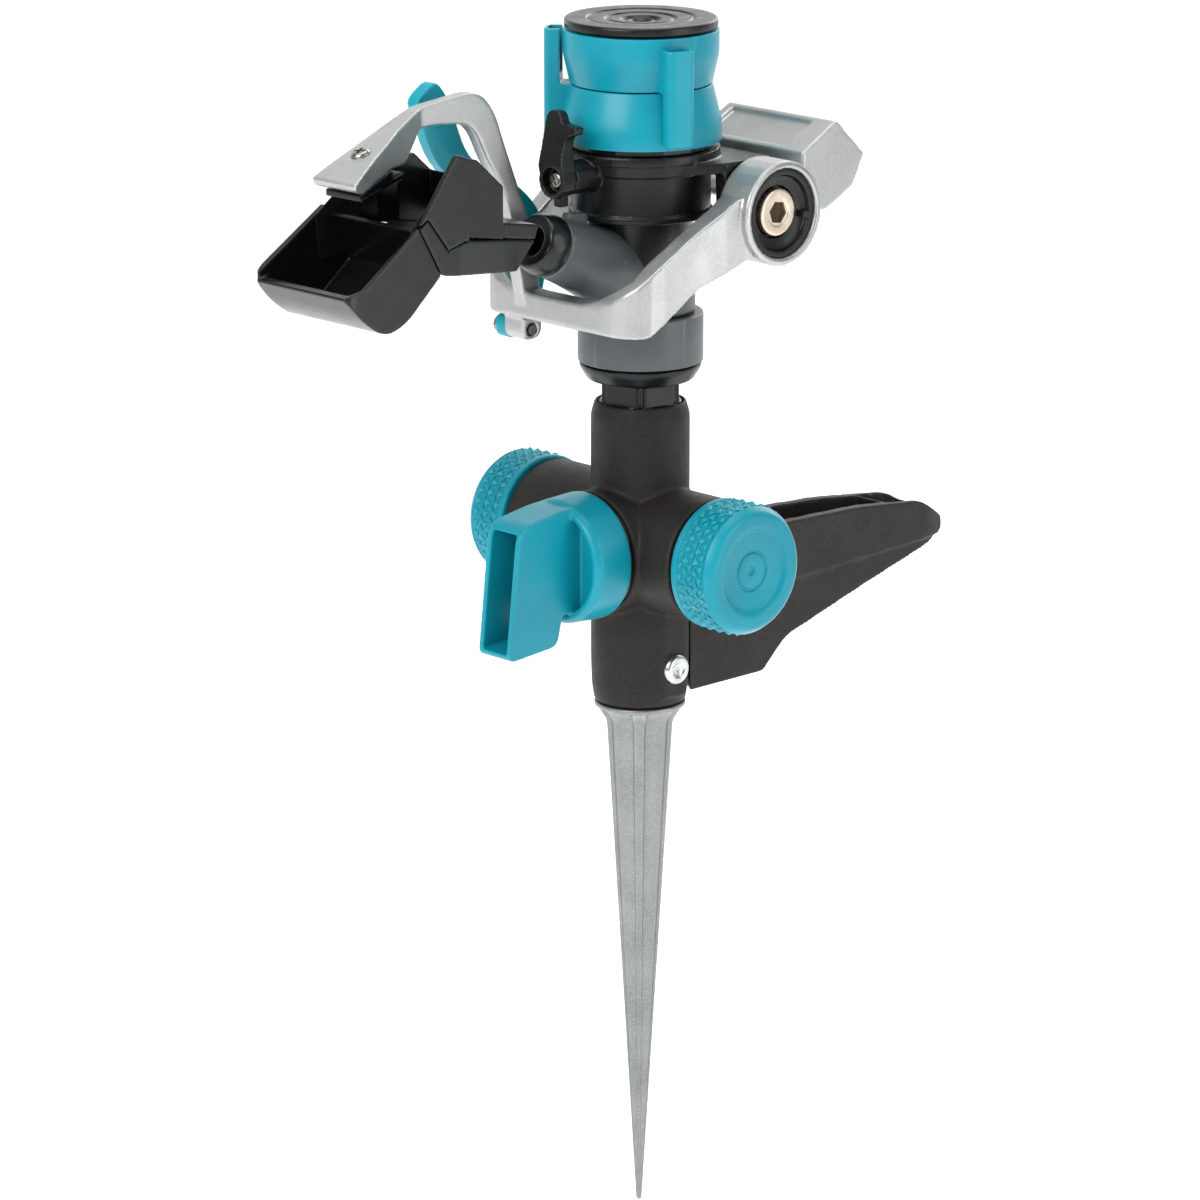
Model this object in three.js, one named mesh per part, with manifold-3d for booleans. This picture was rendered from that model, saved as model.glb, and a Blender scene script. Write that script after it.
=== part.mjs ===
// Impact sprinkler on a ground spike, with two sector rings and a two-way tap body.
//
// Millimetres, +Z up. The origin is on the main axis, in the plane where the spike's flange
// meets the soil. +X runs along the through-flow arm to its right cap, and -Y is forward,
// the way the jet and the valve handle point. "forward" below is the distance along -Y.

import * as THREE from 'three';
import { mergeVertices } from 'three/addons/utils/BufferGeometryUtils.js';
import Module from 'manifold-3d';

const wasm = await Module();
wasm.setup();

// ---------------------------------------------------------------- driving dimensions

const GAP = 0.3;                  // between pieces that touch
const SWING_GAP = 1.0;            // between pieces that move past each other
const WALL = 1.8;                 // moulded plastic walls
const ROUND = 28;                 // sides of a large round
const SMALL_ROUND = 12;           // sides of a hole or a screw

// ground spike
const SPIKE_LENGTH = 162.6;
const SPIKE_ROOT_R = 10.5;
const SPIKE_TIP_R = 0.8;
const FLANGE_R = 14.2;
const FLANGE_THICK = 1.7;
const TENON_R = 8.0;
const TENON_LENGTH = 25;
const PIN_R = 2.0;
const PIN_HEAD_R = 4.8;
const PIN_Z = 14.2;

// tap body
const BODY_BOTTOM = FLANGE_THICK + GAP;
const BODY_R = 15.1;
const BODY_HEIGHT = 94.6;
const FLOW_Z = 51.4;              // height of the through-flow arm and of the valve
const ARM_R = 19.2;
const RIGHT_ARM = 31.8;
const LEFT_ARM = 39.6;
const VALVE_STAND = 0.8;          // how far the valve's face stands beyond the flow arm's radius
const FLOW_BORE_R = 8.2;
const STUB_R = 13.2;              // G3/4 outside thread
const STUB_LENGTH = 12.5;
const SOCKET_R = 13.1;            // G3/4 inside thread
const SOCKET_DEPTH = 17.5;

// end caps
const CAP_R = 20;
const CAP_LENGTH = 16.7;
const CAP_FRONT_WALL = 3.4;
const CAP_DISH_R = 12.7;
const CAP_DISH_DEPTH = 1.7;
const GASKET_THICK = 1.1;

// regulating valve
const PLUG_R = 9.2;
const KNOB_R = 19.6;
const KNOB_LENGTH = 14;
const WING_REACH = 61;            // forward end of the wing
const WING_HALF_WIDTH = 7;
const WING_TOP = 14.2;            // above the valve axis, at the front
const WING_BOTTOM = 25.8;         // below the valve axis

// foot pedal
const PEDAL_REACH = 129;
const PEDAL_ROOT_HALF = 12;
const PEDAL_TIP_HALF = 8.4;
const PEDAL_TOP_Z = 50.5;

// swivel
const HEX_ACROSS_FLATS = 23.4;
const HEX_HEIGHT = 6.2;
const ADAPTER_BORE_R = 8.0;
const NECK_R = 10.2;
const CONE_HEIGHT = 5.4;
const COLLAR_R = 19.1;
const COLLAR_HEIGHT = 15.2;
const SPINDLE_R = 4.5;

// head, at the heights it has when the collar's top rim is at HEAD_DATUM_Z
const HEAD_DATUM_Z = 124;
const RISER_R = 16.6;
const RISER_BORE_R = 10.6;
const JET_ANGLE = 22.5;           // degrees above level
const JET_ROOT_Z = 133;           // where the jet's axis leaves the main axis
const ELBOW_LENGTH = 41;
const ELBOW_R = 9.6;
const ELBOW_ROOT_R = 12.6;
const JET_BORE_R = 5.5;
const DRUM_R = 21.1;
const DRUM_BOTTOM = 154.1;
const DRUM_TOP = 174.8;
const DRUM_FLANGE_R = 24;
const DRUM_FLANGE_THICK = 2.8;
const NECK_SLEEVE_R = 15.7;

// sector rings and what carries them
const RING_WAIST_R = 21.6;
const UPPER_RING_R = 23.6;
const LOWER_RING_R = 24.5;
const LOWER_RING_HEIGHT = 17;
const UPPER_RING_HEIGHT = 16.3;
const HUB_R = 18;
const TAB_REACH = 29.3;           // farthest that a sector tab stands from the main axis
const DISC_R = 23.2;
const DISC_THICK = 2.7;
const UPPER_TAB_AZIMUTH = 71;     // degrees from forward towards +X
const LOWER_TAB_AZIMUTH = -50;

// rocker
const PIVOT_FORWARD = -19;
const PIVOT_Z = 157;
const EYE_R = 15.9;
const EYE_BORE_R = 13.7;
const EYE_INNER_X = 29.5;
const EYE_WIDTH = 12.5;
const CHEEK_BACK = 8.2;           // how far the cheeks reach behind the pivot, short of the counterweight
const PIVOT_SCREW_R = 4;
const PIVOT_HEAD_R = 7.3;
const CROSSBAR_FORWARD = 33;
const CROSSBAR_THICK = 7.5;
const CROSSBAR_TOP = 133;
const CROSSBAR_HEIGHT = 8.5;
const YOKE_HALF_WIDTH = 36;
const YOKE_ARM_THICK = 6.6;
const SCOOP_HALF_WIDTH = 20.2;
const DUCT_HALF_WIDTH = 14.8;
const NECK_INNER_X = -11.6;       // right face of the gooseneck's leg
const NECK_WIDTH = 4.8;
const BEAK_START = { forward: 78, z: 194 };   // upper edge of the sloping beak
const BEAK_SLOPE = 18;            // degrees below level
const BEAK_FRONT = 122.7;
const BEAK_WALL = 2.2;
const BEAK_SCREW = { x: -6, forward: 106.5 };
const BEAK_SCREW_R = 1.0;
const BEAK_SCREW_HEAD_R = 2.9;
const LEVER_X = -24.9;            // middle of the jet lever's thickness
const LEVER_THICK = 4.6;
const LEVER_PIVOT = { forward: 31.5, z: 120.2 };
const LEVER_HUB_R = 3.8;

// trip lever
const TRIP_FORWARD = 31.4;        // rear face of the lever
const TRIP_Z = 168.4;
const TRIP_HUB_R = 5.4;

// ---------------------------------------------------------------- finishes

const finish = (color, roughness, metalness = 0) =>
  () => new THREE.MeshStandardMaterial({ color, roughness, metalness });

const tealPlastic = finish(0x1c9db0, 0.38);
const grainedBlack = finish(0x35322e, 0.75);
const glossBlack = finish(0x15181a, 0.25);
const greyPlastic = finish(0x666d70, 0.45);
const castMetal = finish(0xb9bfc0, 0.4, 0.9);
const spikeMetal = finish(0x9a9d9b, 0.45, 0.9);
const nickel = finish(0xe6dacb, 0.3, 0.9);
const rubber = finish(0x1a1a1a, 0.85);
const whitePlastic = finish(0xd8d8d2, 0.5);
const stainless = finish(0xa8a9a8, 0.35, 0.9);

// ---------------------------------------------------------------- solids

function solidOf(geometry) {
  const bare = (geometry.index ? geometry : mergeVertices(geometry)).clone();
  bare.deleteAttribute('normal');
  bare.deleteAttribute('uv');
  const merged = mergeVertices(bare);
  const corners = merged.index.array;
  const kept = [];
  for (let i = 0; i < corners.length; i += 3) {
    const [a, b, c] = corners.slice(i, i + 3);
    if (a !== b && b !== c && c !== a) kept.push(a, b, c);
  }
  return new wasm.Manifold(new wasm.Mesh({
    numProp: 3,
    vertProperties: new Float32Array(merged.attributes.position.array),
    triVerts: new Uint32Array(kept),
  }));
}

function geometryOf(solid) {
  const mesh = solid.getMesh();
  const geometry = new THREE.BufferGeometry();
  geometry.setAttribute('position', new THREE.BufferAttribute(mesh.vertProperties, 3));
  geometry.setIndex(new THREE.BufferAttribute(mesh.triVerts, 1));
  return geometry;
}

const combined = (method, first, rest) =>
  geometryOf(rest.reduce((solid, next) => solid[method](solidOf(next)), solidOf(first)));
const join = (first, ...rest) => combined('add', first, rest);
const cut = (first, ...rest) => combined('subtract', first, rest);
const overlap = (first, ...rest) => combined('intersect', first, rest);

// A solid of revolution about Z. The profile is a list of [radius, z].
function revolved(profile, segments = ROUND) {
  const doubledArea = profile.reduce((sum, [r, z], i) => {
    const [nextR, nextZ] = profile[(i + 1) % profile.length];
    return sum + r * nextZ - nextR * z;
  }, 0);
  const ordered = doubledArea < 0 ? [...profile].reverse() : [...profile];
  const touchesAxis = ordered.some(([r]) => r === 0);
  if (touchesAxis) {
    while (ordered[0][0] !== 0 || ordered.at(-1)[0] !== 0) ordered.push(ordered.shift());
  } else {
    ordered.push(ordered[0]);
  }
  const points = ordered.map(([r, z]) => new THREE.Vector2(r, z));
  return new THREE.LatheGeometry(points, segments).rotateX(Math.PI / 2);
}

const cylinder = (radius, low, high, segments = ROUND) =>
  revolved([[0, low], [radius, low], [radius, high], [0, high]], segments);

const tube = (outer, inner, low, high, segments = ROUND) =>
  revolved([[inner, low], [outer, low], [outer, high], [inner, high]], segments);

function block([x0, x1], [forward0, forward1], [z0, z1]) {
  return new THREE.BoxGeometry(x1 - x0, forward1 - forward0, z1 - z0)
    .translate((x0 + x1) / 2, -(forward0 + forward1) / 2, (z0 + z1) / 2);
}

// An outline whose corners may carry a radius as a third value.
function outlineShape(corners) {
  const shape = new THREE.Shape();
  corners.forEach(([x, y, radius = 0], i) => {
    const corner = new THREE.Vector2(x, y);
    const [beforeX, beforeY] = corners.at(i - 1);
    const [afterX, afterY] = corners[(i + 1) % corners.length];
    const before = new THREE.Vector2(beforeX, beforeY).sub(corner);
    const after = new THREE.Vector2(afterX, afterY).sub(corner);
    const start = corner.clone().add(before.setLength(Math.min(radius, before.length() / 2)));
    const end = corner.clone().add(after.setLength(Math.min(radius, after.length() / 2)));
    if (i === 0) shape.moveTo(start.x, start.y);
    else shape.lineTo(start.x, start.y);
    if (radius > 0) shape.quadraticCurveTo(x, y, end.x, end.y);
  });
  return shape;
}

// A plate seen from the side: an outline in (forward, z), from x = low to x = high.
function sidePlate(corners, low, high, curveSegments = 5) {
  const options = { depth: high - low, bevelEnabled: false, curveSegments };
  const toSide = new THREE.Matrix4().makeBasis(
    new THREE.Vector3(0, -1, 0), new THREE.Vector3(0, 0, 1), new THREE.Vector3(-1, 0, 0));
  return new THREE.ExtrudeGeometry(outlineShape(corners), options)
    .applyMatrix4(toSide).translate(high, 0, 0);
}

// A plate seen from above: an outline in (x, forward), from z = low to z = high.
function planPlate(corners, low, high, curveSegments = 5) {
  const options = { depth: high - low, bevelEnabled: false, curveSegments };
  const flipped = corners.map(([x, forward, radius]) => [x, -forward, radius]);
  return new THREE.ExtrudeGeometry(outlineShape(flipped), options).translate(0, 0, low);
}

// A plate seen from the front: an outline in (x, z), from forward = low to forward = high.
function frontPlate(corners, low, high, curveSegments = 5) {
  const options = { depth: high - low, bevelEnabled: false, curveSegments };
  return new THREE.ExtrudeGeometry(outlineShape(corners), options)
    .rotateX(Math.PI / 2).translate(0, -low, 0);
}

const mirroredPlan = (half) => [...half, ...half.map(([x, f, r]) => [-x, f, r]).reverse()];

// Turn something made about Z so that it lies along another axis.
const alongX = (geometry, forward, z) => geometry.rotateY(Math.PI / 2).translate(0, -forward, z);
const alongForward = (geometry, x, z) => geometry.rotateX(Math.PI / 2).translate(x, 0, z);
const alongJet = (geometry) =>
  geometry.rotateX(THREE.MathUtils.degToRad(90 - JET_ANGLE)).translate(0, 0, JET_ROOT_Z);

const mirroredX = (geometry) => geometry.rotateZ(Math.PI);   // for solids of revolution about X

const sprinkler = new THREE.Group();
sprinkler.name = 'sprinkler';

function place(name, geometry, material) {
  const whole = geometryOf(solidOf(geometry));
  whole.computeVertexNormals();
  const mesh = new THREE.Mesh(whole, material());
  mesh.name = name;
  sprinkler.add(mesh);
}

// ---------------------------------------------------------------- ground spike

const pinGrip = BODY_R + 0.6;               // where the pin's heads bear, on the flat pads

function buildSpike() {
  // the panels between the four rails, as a share of the radius
  const core = 0.87;
  const section = [];
  for (let side = 0; side < 4; side += 1) {
    const spokes = [[-10, 1], [0, 1], [10, 1], [14, core], [30, core - 0.015], [45, core - 0.02],
      [60, core - 0.015], [76, core]];
    for (const [offset, reach] of spokes) {
      const angle = THREE.MathUtils.degToRad(side * 90 - 45 + offset);
      section.push([reach * Math.cos(angle), reach * Math.sin(angle)]);
    }
  }
  const options = { depth: SPIKE_LENGTH, steps: 6, bevelEnabled: false };
  const blade = new THREE.ExtrudeGeometry(outlineShape(section), options);
  const points = blade.attributes.position;
  for (let i = 0; i < points.count; i += 1) {
    const along = points.getZ(i) / SPIKE_LENGTH;
    const radius = THREE.MathUtils.lerp(SPIKE_ROOT_R, SPIKE_TIP_R, along);
    points.setXYZ(i, points.getX(i) * radius, -points.getY(i) * radius, -points.getZ(i));
  }
  const flange = cylinder(FLANGE_R, 0, FLANGE_THICK);
  const root = revolved([[0, -5.6], [SPIKE_ROOT_R - 0.6, -5.6], [SPIKE_ROOT_R + 0.3, -3],
    [SPIKE_ROOT_R + 1.5, -1.2],
    [SPIKE_ROOT_R + 2.2, 0.4], [0, 0.4]]);
  const tenon = cylinder(TENON_R, FLANGE_THICK / 2, FLANGE_THICK + TENON_LENGTH);
  const pinHole = alongX(cylinder(PIN_R + GAP, -pinGrip, pinGrip, SMALL_ROUND), 0, PIN_Z);
  place('ground_spike', cut(join(blade, root, flange, tenon), pinHole), spikeMetal);

  const headThick = 1.5;
  const shank = cylinder(PIN_R, -pinGrip - 0.8, pinGrip + 0.8, SMALL_ROUND);
  const faces = [-1, 1].map((side) => {
    const inner = side * (pinGrip + GAP);
    const outer = side * (pinGrip + GAP + headThick);
    return revolved([[0, inner], [PIN_HEAD_R, inner], [PIN_HEAD_R - 1.2, outer],
      [1.9, outer], [1.5, outer - side * 0.5], [0, outer - side * 0.5]], SMALL_ROUND);
  });
  place('cross_pin', alongX(join(shank, ...faces), 0, PIN_Z), stainless);
}

// ---------------------------------------------------------------- tap body

const bodyTop = BODY_BOTTOM + BODY_HEIGHT;
const socketFloor = bodyTop - SOCKET_DEPTH;
const rightStubEnd = RIGHT_ARM + STUB_LENGTH;
const leftStubEnd = LEFT_ARM + STUB_LENGTH;
const valveFace = ARM_R + VALVE_STAND;

function buildTapBody() {
  const column = revolved([[0, BODY_BOTTOM], [BODY_R - 1.1, BODY_BOTTOM],
    [BODY_R - 0.4, BODY_BOTTOM + 4.2], [BODY_R, BODY_BOTTOM + 14], [BODY_R, bodyTop - 4.4],
    [BODY_R - 1.4, bodyTop], [0, bodyTop]]);
  const flowArm = alongX(cylinder(ARM_R, -LEFT_ARM, RIGHT_ARM), 0, FLOW_Z);
  const stubs = alongX(cylinder(STUB_R, -leftStubEnd, rightStubEnd), 0, FLOW_Z);
  const valveArm = alongForward(cylinder(ARM_R, 0, valveFace), 0, FLOW_Z);
  const pads = block([-pinGrip, pinGrip], [-5, 5], [BODY_BOTTOM + 3.4, FLOW_Z - 8]);
  const rearCrown = new THREE.SphereGeometry(ARM_R - 0.2, 32, SMALL_ROUND).translate(0, 0, FLOW_Z);

  const flowBore = alongX(cylinder(FLOW_BORE_R, -leftStubEnd - 1, rightStubEnd + 1), 0, FLOW_Z);
  const riserBore = cylinder(FLOW_BORE_R, FLOW_Z, socketFloor + 1);
  const socket = cylinder(SOCKET_R, socketFloor, bodyTop + 1);
  const valveBore = alongForward(cylinder(PLUG_R + GAP, -PLUG_R - GAP, valveFace + 1), 0, FLOW_Z);
  const tenonBore = cylinder(TENON_R + GAP, BODY_BOTTOM - 1, FLANGE_THICK + TENON_LENGTH + GAP);
  const pinHole = alongX(cylinder(PIN_R + GAP, -pinGrip - 1, pinGrip + 1, SMALL_ROUND), 0, PIN_Z);
  const body = cut(join(column, flowArm, stubs, valveArm, pads, rearCrown),
    flowBore, riserBore, socket, valveBore, tenonBore, pinHole);
  place('tap_body', body, grainedBlack);
}

function buildEndCap(side, armLength) {
  const stubEnd = armLength + STUB_LENGTH;
  const inner = armLength + GASKET_THICK + 2 * GAP;
  const outer = inner + CAP_LENGTH;
  const ceiling = outer - CAP_FRONT_WALL;
  const cap = revolved([[STUB_R + GAP, inner], [CAP_R - 0.5, inner], [CAP_R, inner + 1],
    [CAP_R, outer - 2.4], [CAP_R - 2.4, outer], [CAP_DISH_R + 0.6, outer],
    [CAP_DISH_R - 1, outer - CAP_DISH_DEPTH], [0, outer - CAP_DISH_DEPTH], [0, ceiling],
    [STUB_R + GAP, ceiling]]);
  const gasket = tube(ARM_R - 0.9, STUB_R + GAP, armLength + GAP, armLength + GAP + GASKET_THICK);
  const seal = tube(STUB_R, FLOW_BORE_R + 0.6, stubEnd + GAP, ceiling - GAP);
  const laid = (geometry) => {
    const turned = alongX(geometry, 0, 0);
    return (side === 'left' ? mirroredX(turned) : turned).translate(0, 0, FLOW_Z);
  };
  place(`end_cap_${side}`, laid(cap), tealPlastic);
  place(`arm_gasket_${side}`, laid(gasket), rubber);
  place(`cap_seal_${side}`, laid(seal), rubber);
}

// ---------------------------------------------------------------- regulating valve

const bonnetThick = 1.1;
const knobStart = valveFace + bonnetThick + 2 * GAP;
const knobEnd = knobStart + KNOB_LENGTH;
const stemR = 4.6;
const stemEnd = knobStart + 8;

function buildValve() {
  const cavity = 8.2;                        // depth of the hollow behind the knob's hub plate
  const ribbed = revolved([[0, knobStart], [KNOB_R - 0.6, knobStart], [KNOB_R, knobStart + 1],
    [KNOB_R, knobStart + 2], [KNOB_R - 0.5, knobEnd - 1.4], [KNOB_R - 2, knobEnd], [0, knobEnd]]);
  const dish = cylinder(KNOB_R - 3.2, knobEnd - 4.2, knobEnd + 1);
  const drum = alongForward(cut(ribbed, dish), 0, FLOW_Z);
  const wing = sidePlate([[knobStart + 1.6, FLOW_Z + KNOB_R - 1.4],
    [knobEnd + 4, FLOW_Z + KNOB_R - 1.9, 4],
    [WING_REACH - 4.5, FLOW_Z + WING_TOP + 0.6, 5], [WING_REACH, FLOW_Z - WING_BOTTOM, 3],
    [WING_REACH - 20, FLOW_Z - WING_BOTTOM + 1.8, 3], [knobEnd + 3.2, FLOW_Z - KNOB_R + 5, 2],
    [knobStart + 1.6, FLOW_Z - KNOB_R + 3.1]], -WING_HALF_WIDTH, WING_HALF_WIDTH);
  const hollow = sidePlate([[knobEnd - 3, FLOW_Z + KNOB_R - 4.6, 3],
    [WING_REACH - 5, FLOW_Z + WING_TOP - 1.4, 4],
    [WING_REACH + 6, FLOW_Z + WING_TOP - 3], [WING_REACH + 6, FLOW_Z - WING_BOTTOM + WALL],
    [WING_REACH - 19, FLOW_Z - WING_BOTTOM + 1.8 + WALL, 3], [knobEnd - 3, FLOW_Z - KNOB_R + 5, 3]],
  -WING_HALF_WIDTH + WALL, WING_HALF_WIDTH - WALL);
  const behind = alongForward(tube(KNOB_R - 2.4, stemR + 3.2, knobStart - 1, knobStart + cavity),
    0, FLOW_Z);
  const stemHole = alongForward(cylinder(stemR + GAP, knobStart - 1, stemEnd + GAP, SMALL_ROUND),
    0, FLOW_Z);
  const screwHole = alongForward(cylinder(2.6, stemEnd - 1, WING_REACH, SMALL_ROUND), 0, FLOW_Z);
  const knob = cut(join(drum, wing), hollow, behind, stemHole, screwHole);
  place('valve_knob', knob, tealPlastic);

  const plugBack = -PLUG_R;
  const plugFront = valveFace - 4;
  const grooveAt = plugFront - 4.5;
  const plug = alongForward(revolved([[0, plugBack], [PLUG_R, plugBack], [PLUG_R, grooveAt],
    [PLUG_R - 1.7, grooveAt], [PLUG_R - 1.7, grooveAt + 2.2], [PLUG_R, grooveAt + 2.2],
    [PLUG_R, plugFront], [stemR, plugFront], [stemR, stemEnd], [0, stemEnd]]), 0, FLOW_Z);
  const through = alongX(cylinder(PLUG_R - 3, -PLUG_R - 2, PLUG_R + 2, SMALL_ROUND), 0, FLOW_Z);
  const upward = cylinder(PLUG_R - 3, FLOW_Z, FLOW_Z + PLUG_R + 2, SMALL_ROUND);
  const tapped = alongForward(cylinder(1.7, knobStart - 4, stemEnd + 1, SMALL_ROUND), 0, FLOW_Z);
  place('valve_plug', cut(plug, through, upward, tapped), whitePlastic);

  const oring = tube(PLUG_R + 0.1, PLUG_R - 1.4, grooveAt + GAP, grooveAt + 2.2 - GAP);
  place('valve_o_ring', alongForward(oring, 0, FLOW_Z), rubber);
  const bonnet = tube(ARM_R - 0.8, stemR + GAP, valveFace + GAP, valveFace + GAP + bonnetThick);
  place('valve_bonnet', alongForward(bonnet, 0, FLOW_Z), glossBlack);

  const headAt = stemEnd + 2.2;              // the hub plate in front of the stem
  const screw = join(cylinder(1.4, knobStart - 2, headAt, SMALL_ROUND),
    cylinder(2.3, headAt - 0.4, headAt + 1.6, SMALL_ROUND));
  place('valve_screw', alongForward(screw, 0, FLOW_Z), stainless);
}

// ---------------------------------------------------------------- foot pedal

function buildPedal() {
  const tip = -PEDAL_REACH;
  const rootForward = -6;
  const bandLow = PEDAL_TOP_Z - 18.5;        // lower edge of the thicker band, at the root
  const silhouette = [[rootForward, BODY_BOTTOM + 2], [-43.5, BODY_BOTTOM + 2.2, 2], [-53.5, 13.2, 3],
    [-88, 22.4], [tip + 5, 31.4, 2], [tip, 35, 1.5], [tip + 0.6, 38.8, 2], [tip + 13, 46.2, 4],
    [-86, 49.4], [rootForward, PEDAL_TOP_Z + 2]];
  const band = [[rootForward, bandLow], [-63, bandLow - 0.5], [tip - 1, bandLow + 1.4],
    [tip - 1, 60], [rootForward, 60]];
  const planOutline = (inset) => mirroredPlan([[PEDAL_ROOT_HALF - inset, rootForward],
    [PEDAL_ROOT_HALF - inset, -40], [PEDAL_TIP_HALF - inset, tip + 8, 4],
    [PEDAL_TIP_HALF - inset - 3, tip - 1, 2]]);
  const whole = sidePlate(silhouette, -PEDAL_ROOT_HALF - 1, PEDAL_ROOT_HALF + 1);
  const upper = overlap(whole, sidePlate(band, -PEDAL_ROOT_HALF - 1, PEDAL_ROOT_HALF + 1),
    planPlate(planOutline(0), 0, 70));
  const lower = overlap(whole, planPlate(planOutline(1.3), 0, 70));
  const wall = 2.2;
  const pocketFloor = 36;
  const pocket = overlap(
    sidePlate([[-26, 70], [-26, pocketFloor - 14], [-60, pocketFloor - 12], [-100, pocketFloor, 3],
      [-103, 70]],
      -PEDAL_ROOT_HALF, PEDAL_ROOT_HALF),
    planPlate(planOutline(1.3 + wall), 0, 70));
  const grip = overlap(
    sidePlate([[-102, 70], [-102, 43.6], [tip + 6, 38.6], [tip + 6, 70]], -PEDAL_ROOT_HALF,
      PEDAL_ROOT_HALF),
    planPlate(planOutline(wall), 0, 70));
  const teeth = [0, 1, 2].map((row) => {
    const at = -106 - row * 5.2;
    const base = 40.4 - row * 1.5;
    return sidePlate([[at, base], [at - 4.2, base], [at - 2.1, base + 6.6]], -PEDAL_TIP_HALF + wall,
      PEDAL_TIP_HALF - wall);
  });
  const columnRoom = cylinder(BODY_R + GAP, -10, 80);
  const crownRoom = alongX(cylinder(ARM_R + GAP, -30, 30), 0, FLOW_Z);
  const ballRoom = new THREE.SphereGeometry(ARM_R + GAP, 32, SMALL_ROUND).translate(0, 0, FLOW_Z);
  const padRoom = block([-30, 30], [-5 - GAP, 30], [-10, 80]);
  const pedal = cut(join(cut(join(upper, lower), pocket, grip), ...teeth),
    columnRoom, crownRoom, ballRoom, padRoom);
  place('foot_pedal', pedal, grainedBlack);
}

// ---------------------------------------------------------------- swivel

const hexBottom = bodyTop + GAP;
const coneBottom = hexBottom + HEX_HEIGHT;
const coneTop = coneBottom + CONE_HEIGHT;
const collarBottom = coneTop + GAP;
const collarTop = collarBottom + COLLAR_HEIGHT;
const collarLip = 1.8;
const trappedR = 14.4;                       // the adapter's flange, trapped in the collar
const trappedBottom = collarBottom + collarLip + GAP;
const trappedTop = trappedBottom + 2.6;
const washerTop = trappedTop + GAP + 1.4;
const neckTop = collarTop + 1;
const headShift = collarTop - HEAD_DATUM_Z;
const inHead = (z) => z - headShift;         // a height of the swivel, as the head's own sizes count it
const placeOnHead = (name, geometry, material) =>
  place(name, geometry.clone().translate(0, 0, headShift), material);
const hubBottom = DRUM_TOP + GAP;
const hubTop = hubBottom + 1.3 + LOWER_RING_HEIGHT + UPPER_RING_HEIGHT + 3 * GAP;

function buildSwivel() {
  const threadBottom = socketFloor + 2 + 2 * GAP;
  const hexR = HEX_ACROSS_FLATS / 2 / Math.cos(Math.PI / 6);
  const hex = cylinder(hexR, hexBottom, coneBottom + 0.2, 6).rotateZ(THREE.MathUtils.degToRad(16));
  const outer = revolved([[0, threadBottom], [SOCKET_R - GAP, threadBottom],
    [SOCKET_R - GAP, hexBottom - GAP],
    [HEX_ACROSS_FLATS / 2 - 0.4, hexBottom], [HEX_ACROSS_FLATS / 2 - 0.4, coneBottom], [16.1, coneBottom],
    [COLLAR_R - 0.3, coneTop], [NECK_R, coneTop], [NECK_R, trappedBottom], [trappedR, trappedBottom],
    [trappedR, trappedTop], [NECK_R, trappedTop], [NECK_R, neckTop], [0, neckTop]]);
  const bore = cylinder(ADAPTER_BORE_R, threadBottom - 1, neckTop + 1);
  place('inlet_adapter', cut(join(outer, hex), bore), glossBlack);
  place('socket_seal', tube(SOCKET_R - GAP, FLOW_BORE_R + 0.5, socketFloor + GAP, socketFloor + GAP
    + 2 - GAP), rubber);

  const filterBottom = threadBottom + 1;
  const filterTop = hexBottom - 3;
  const filterR = ADAPTER_BORE_R - GAP;
  const cage = revolved([[filterR - 1, filterBottom], [filterR, filterBottom], [filterR, filterTop - 3],
    [filterR - 3, filterTop], [0, filterTop], [0, filterTop - 1], [filterR - 4, filterTop - 1],
    [filterR - 1, filterTop - 4]], SMALL_ROUND);
  const slots = [0, 60, 120].map((angle) =>
    block([-10, 10], [-0.8, 0.8], [filterBottom + 2,
      filterTop - 5]).rotateZ(THREE.MathUtils.degToRad(angle)));
  place('inlet_filter', cut(cage, ...slots), whitePlastic);

  const spiderBottom = hexBottom;
  const spider = cut(cylinder(ADAPTER_BORE_R - GAP, spiderBottom, spiderBottom + 3),
    ...[0, 120, 240].map((angle) => cylinder(1.6, spiderBottom - 1, spiderBottom + 4, 16)
      .translate(0, SPINDLE_R + 1.3, 0).rotateZ(THREE.MathUtils.degToRad(angle))));
  place('spindle', join(spider, cylinder(SPINDLE_R, spiderBottom, hubBottom + headShift + 22,
    SMALL_ROUND)), stainless);

  place('thrust_washer', tube(trappedR, NECK_R + GAP, trappedTop + GAP, washerTop), whitePlastic);
  const sealTop = neckTop + GAP + 2;
  place('riser_seal', tube(RISER_BORE_R - 0.2, ADAPTER_BORE_R + 0.5, neckTop + GAP, sealTop), rubber);
}

// ---------------------------------------------------------------- head

const riserBottom = inHead(collarTop) + GAP;
const pivotBossInner = DRUM_R + 3.4;
const cheekOuter = EYE_INNER_X - GAP;
const innerTubeR = NECK_SLEEVE_R - 2.4;
const innerTubeTop = DRUM_BOTTOM - 4;

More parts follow.
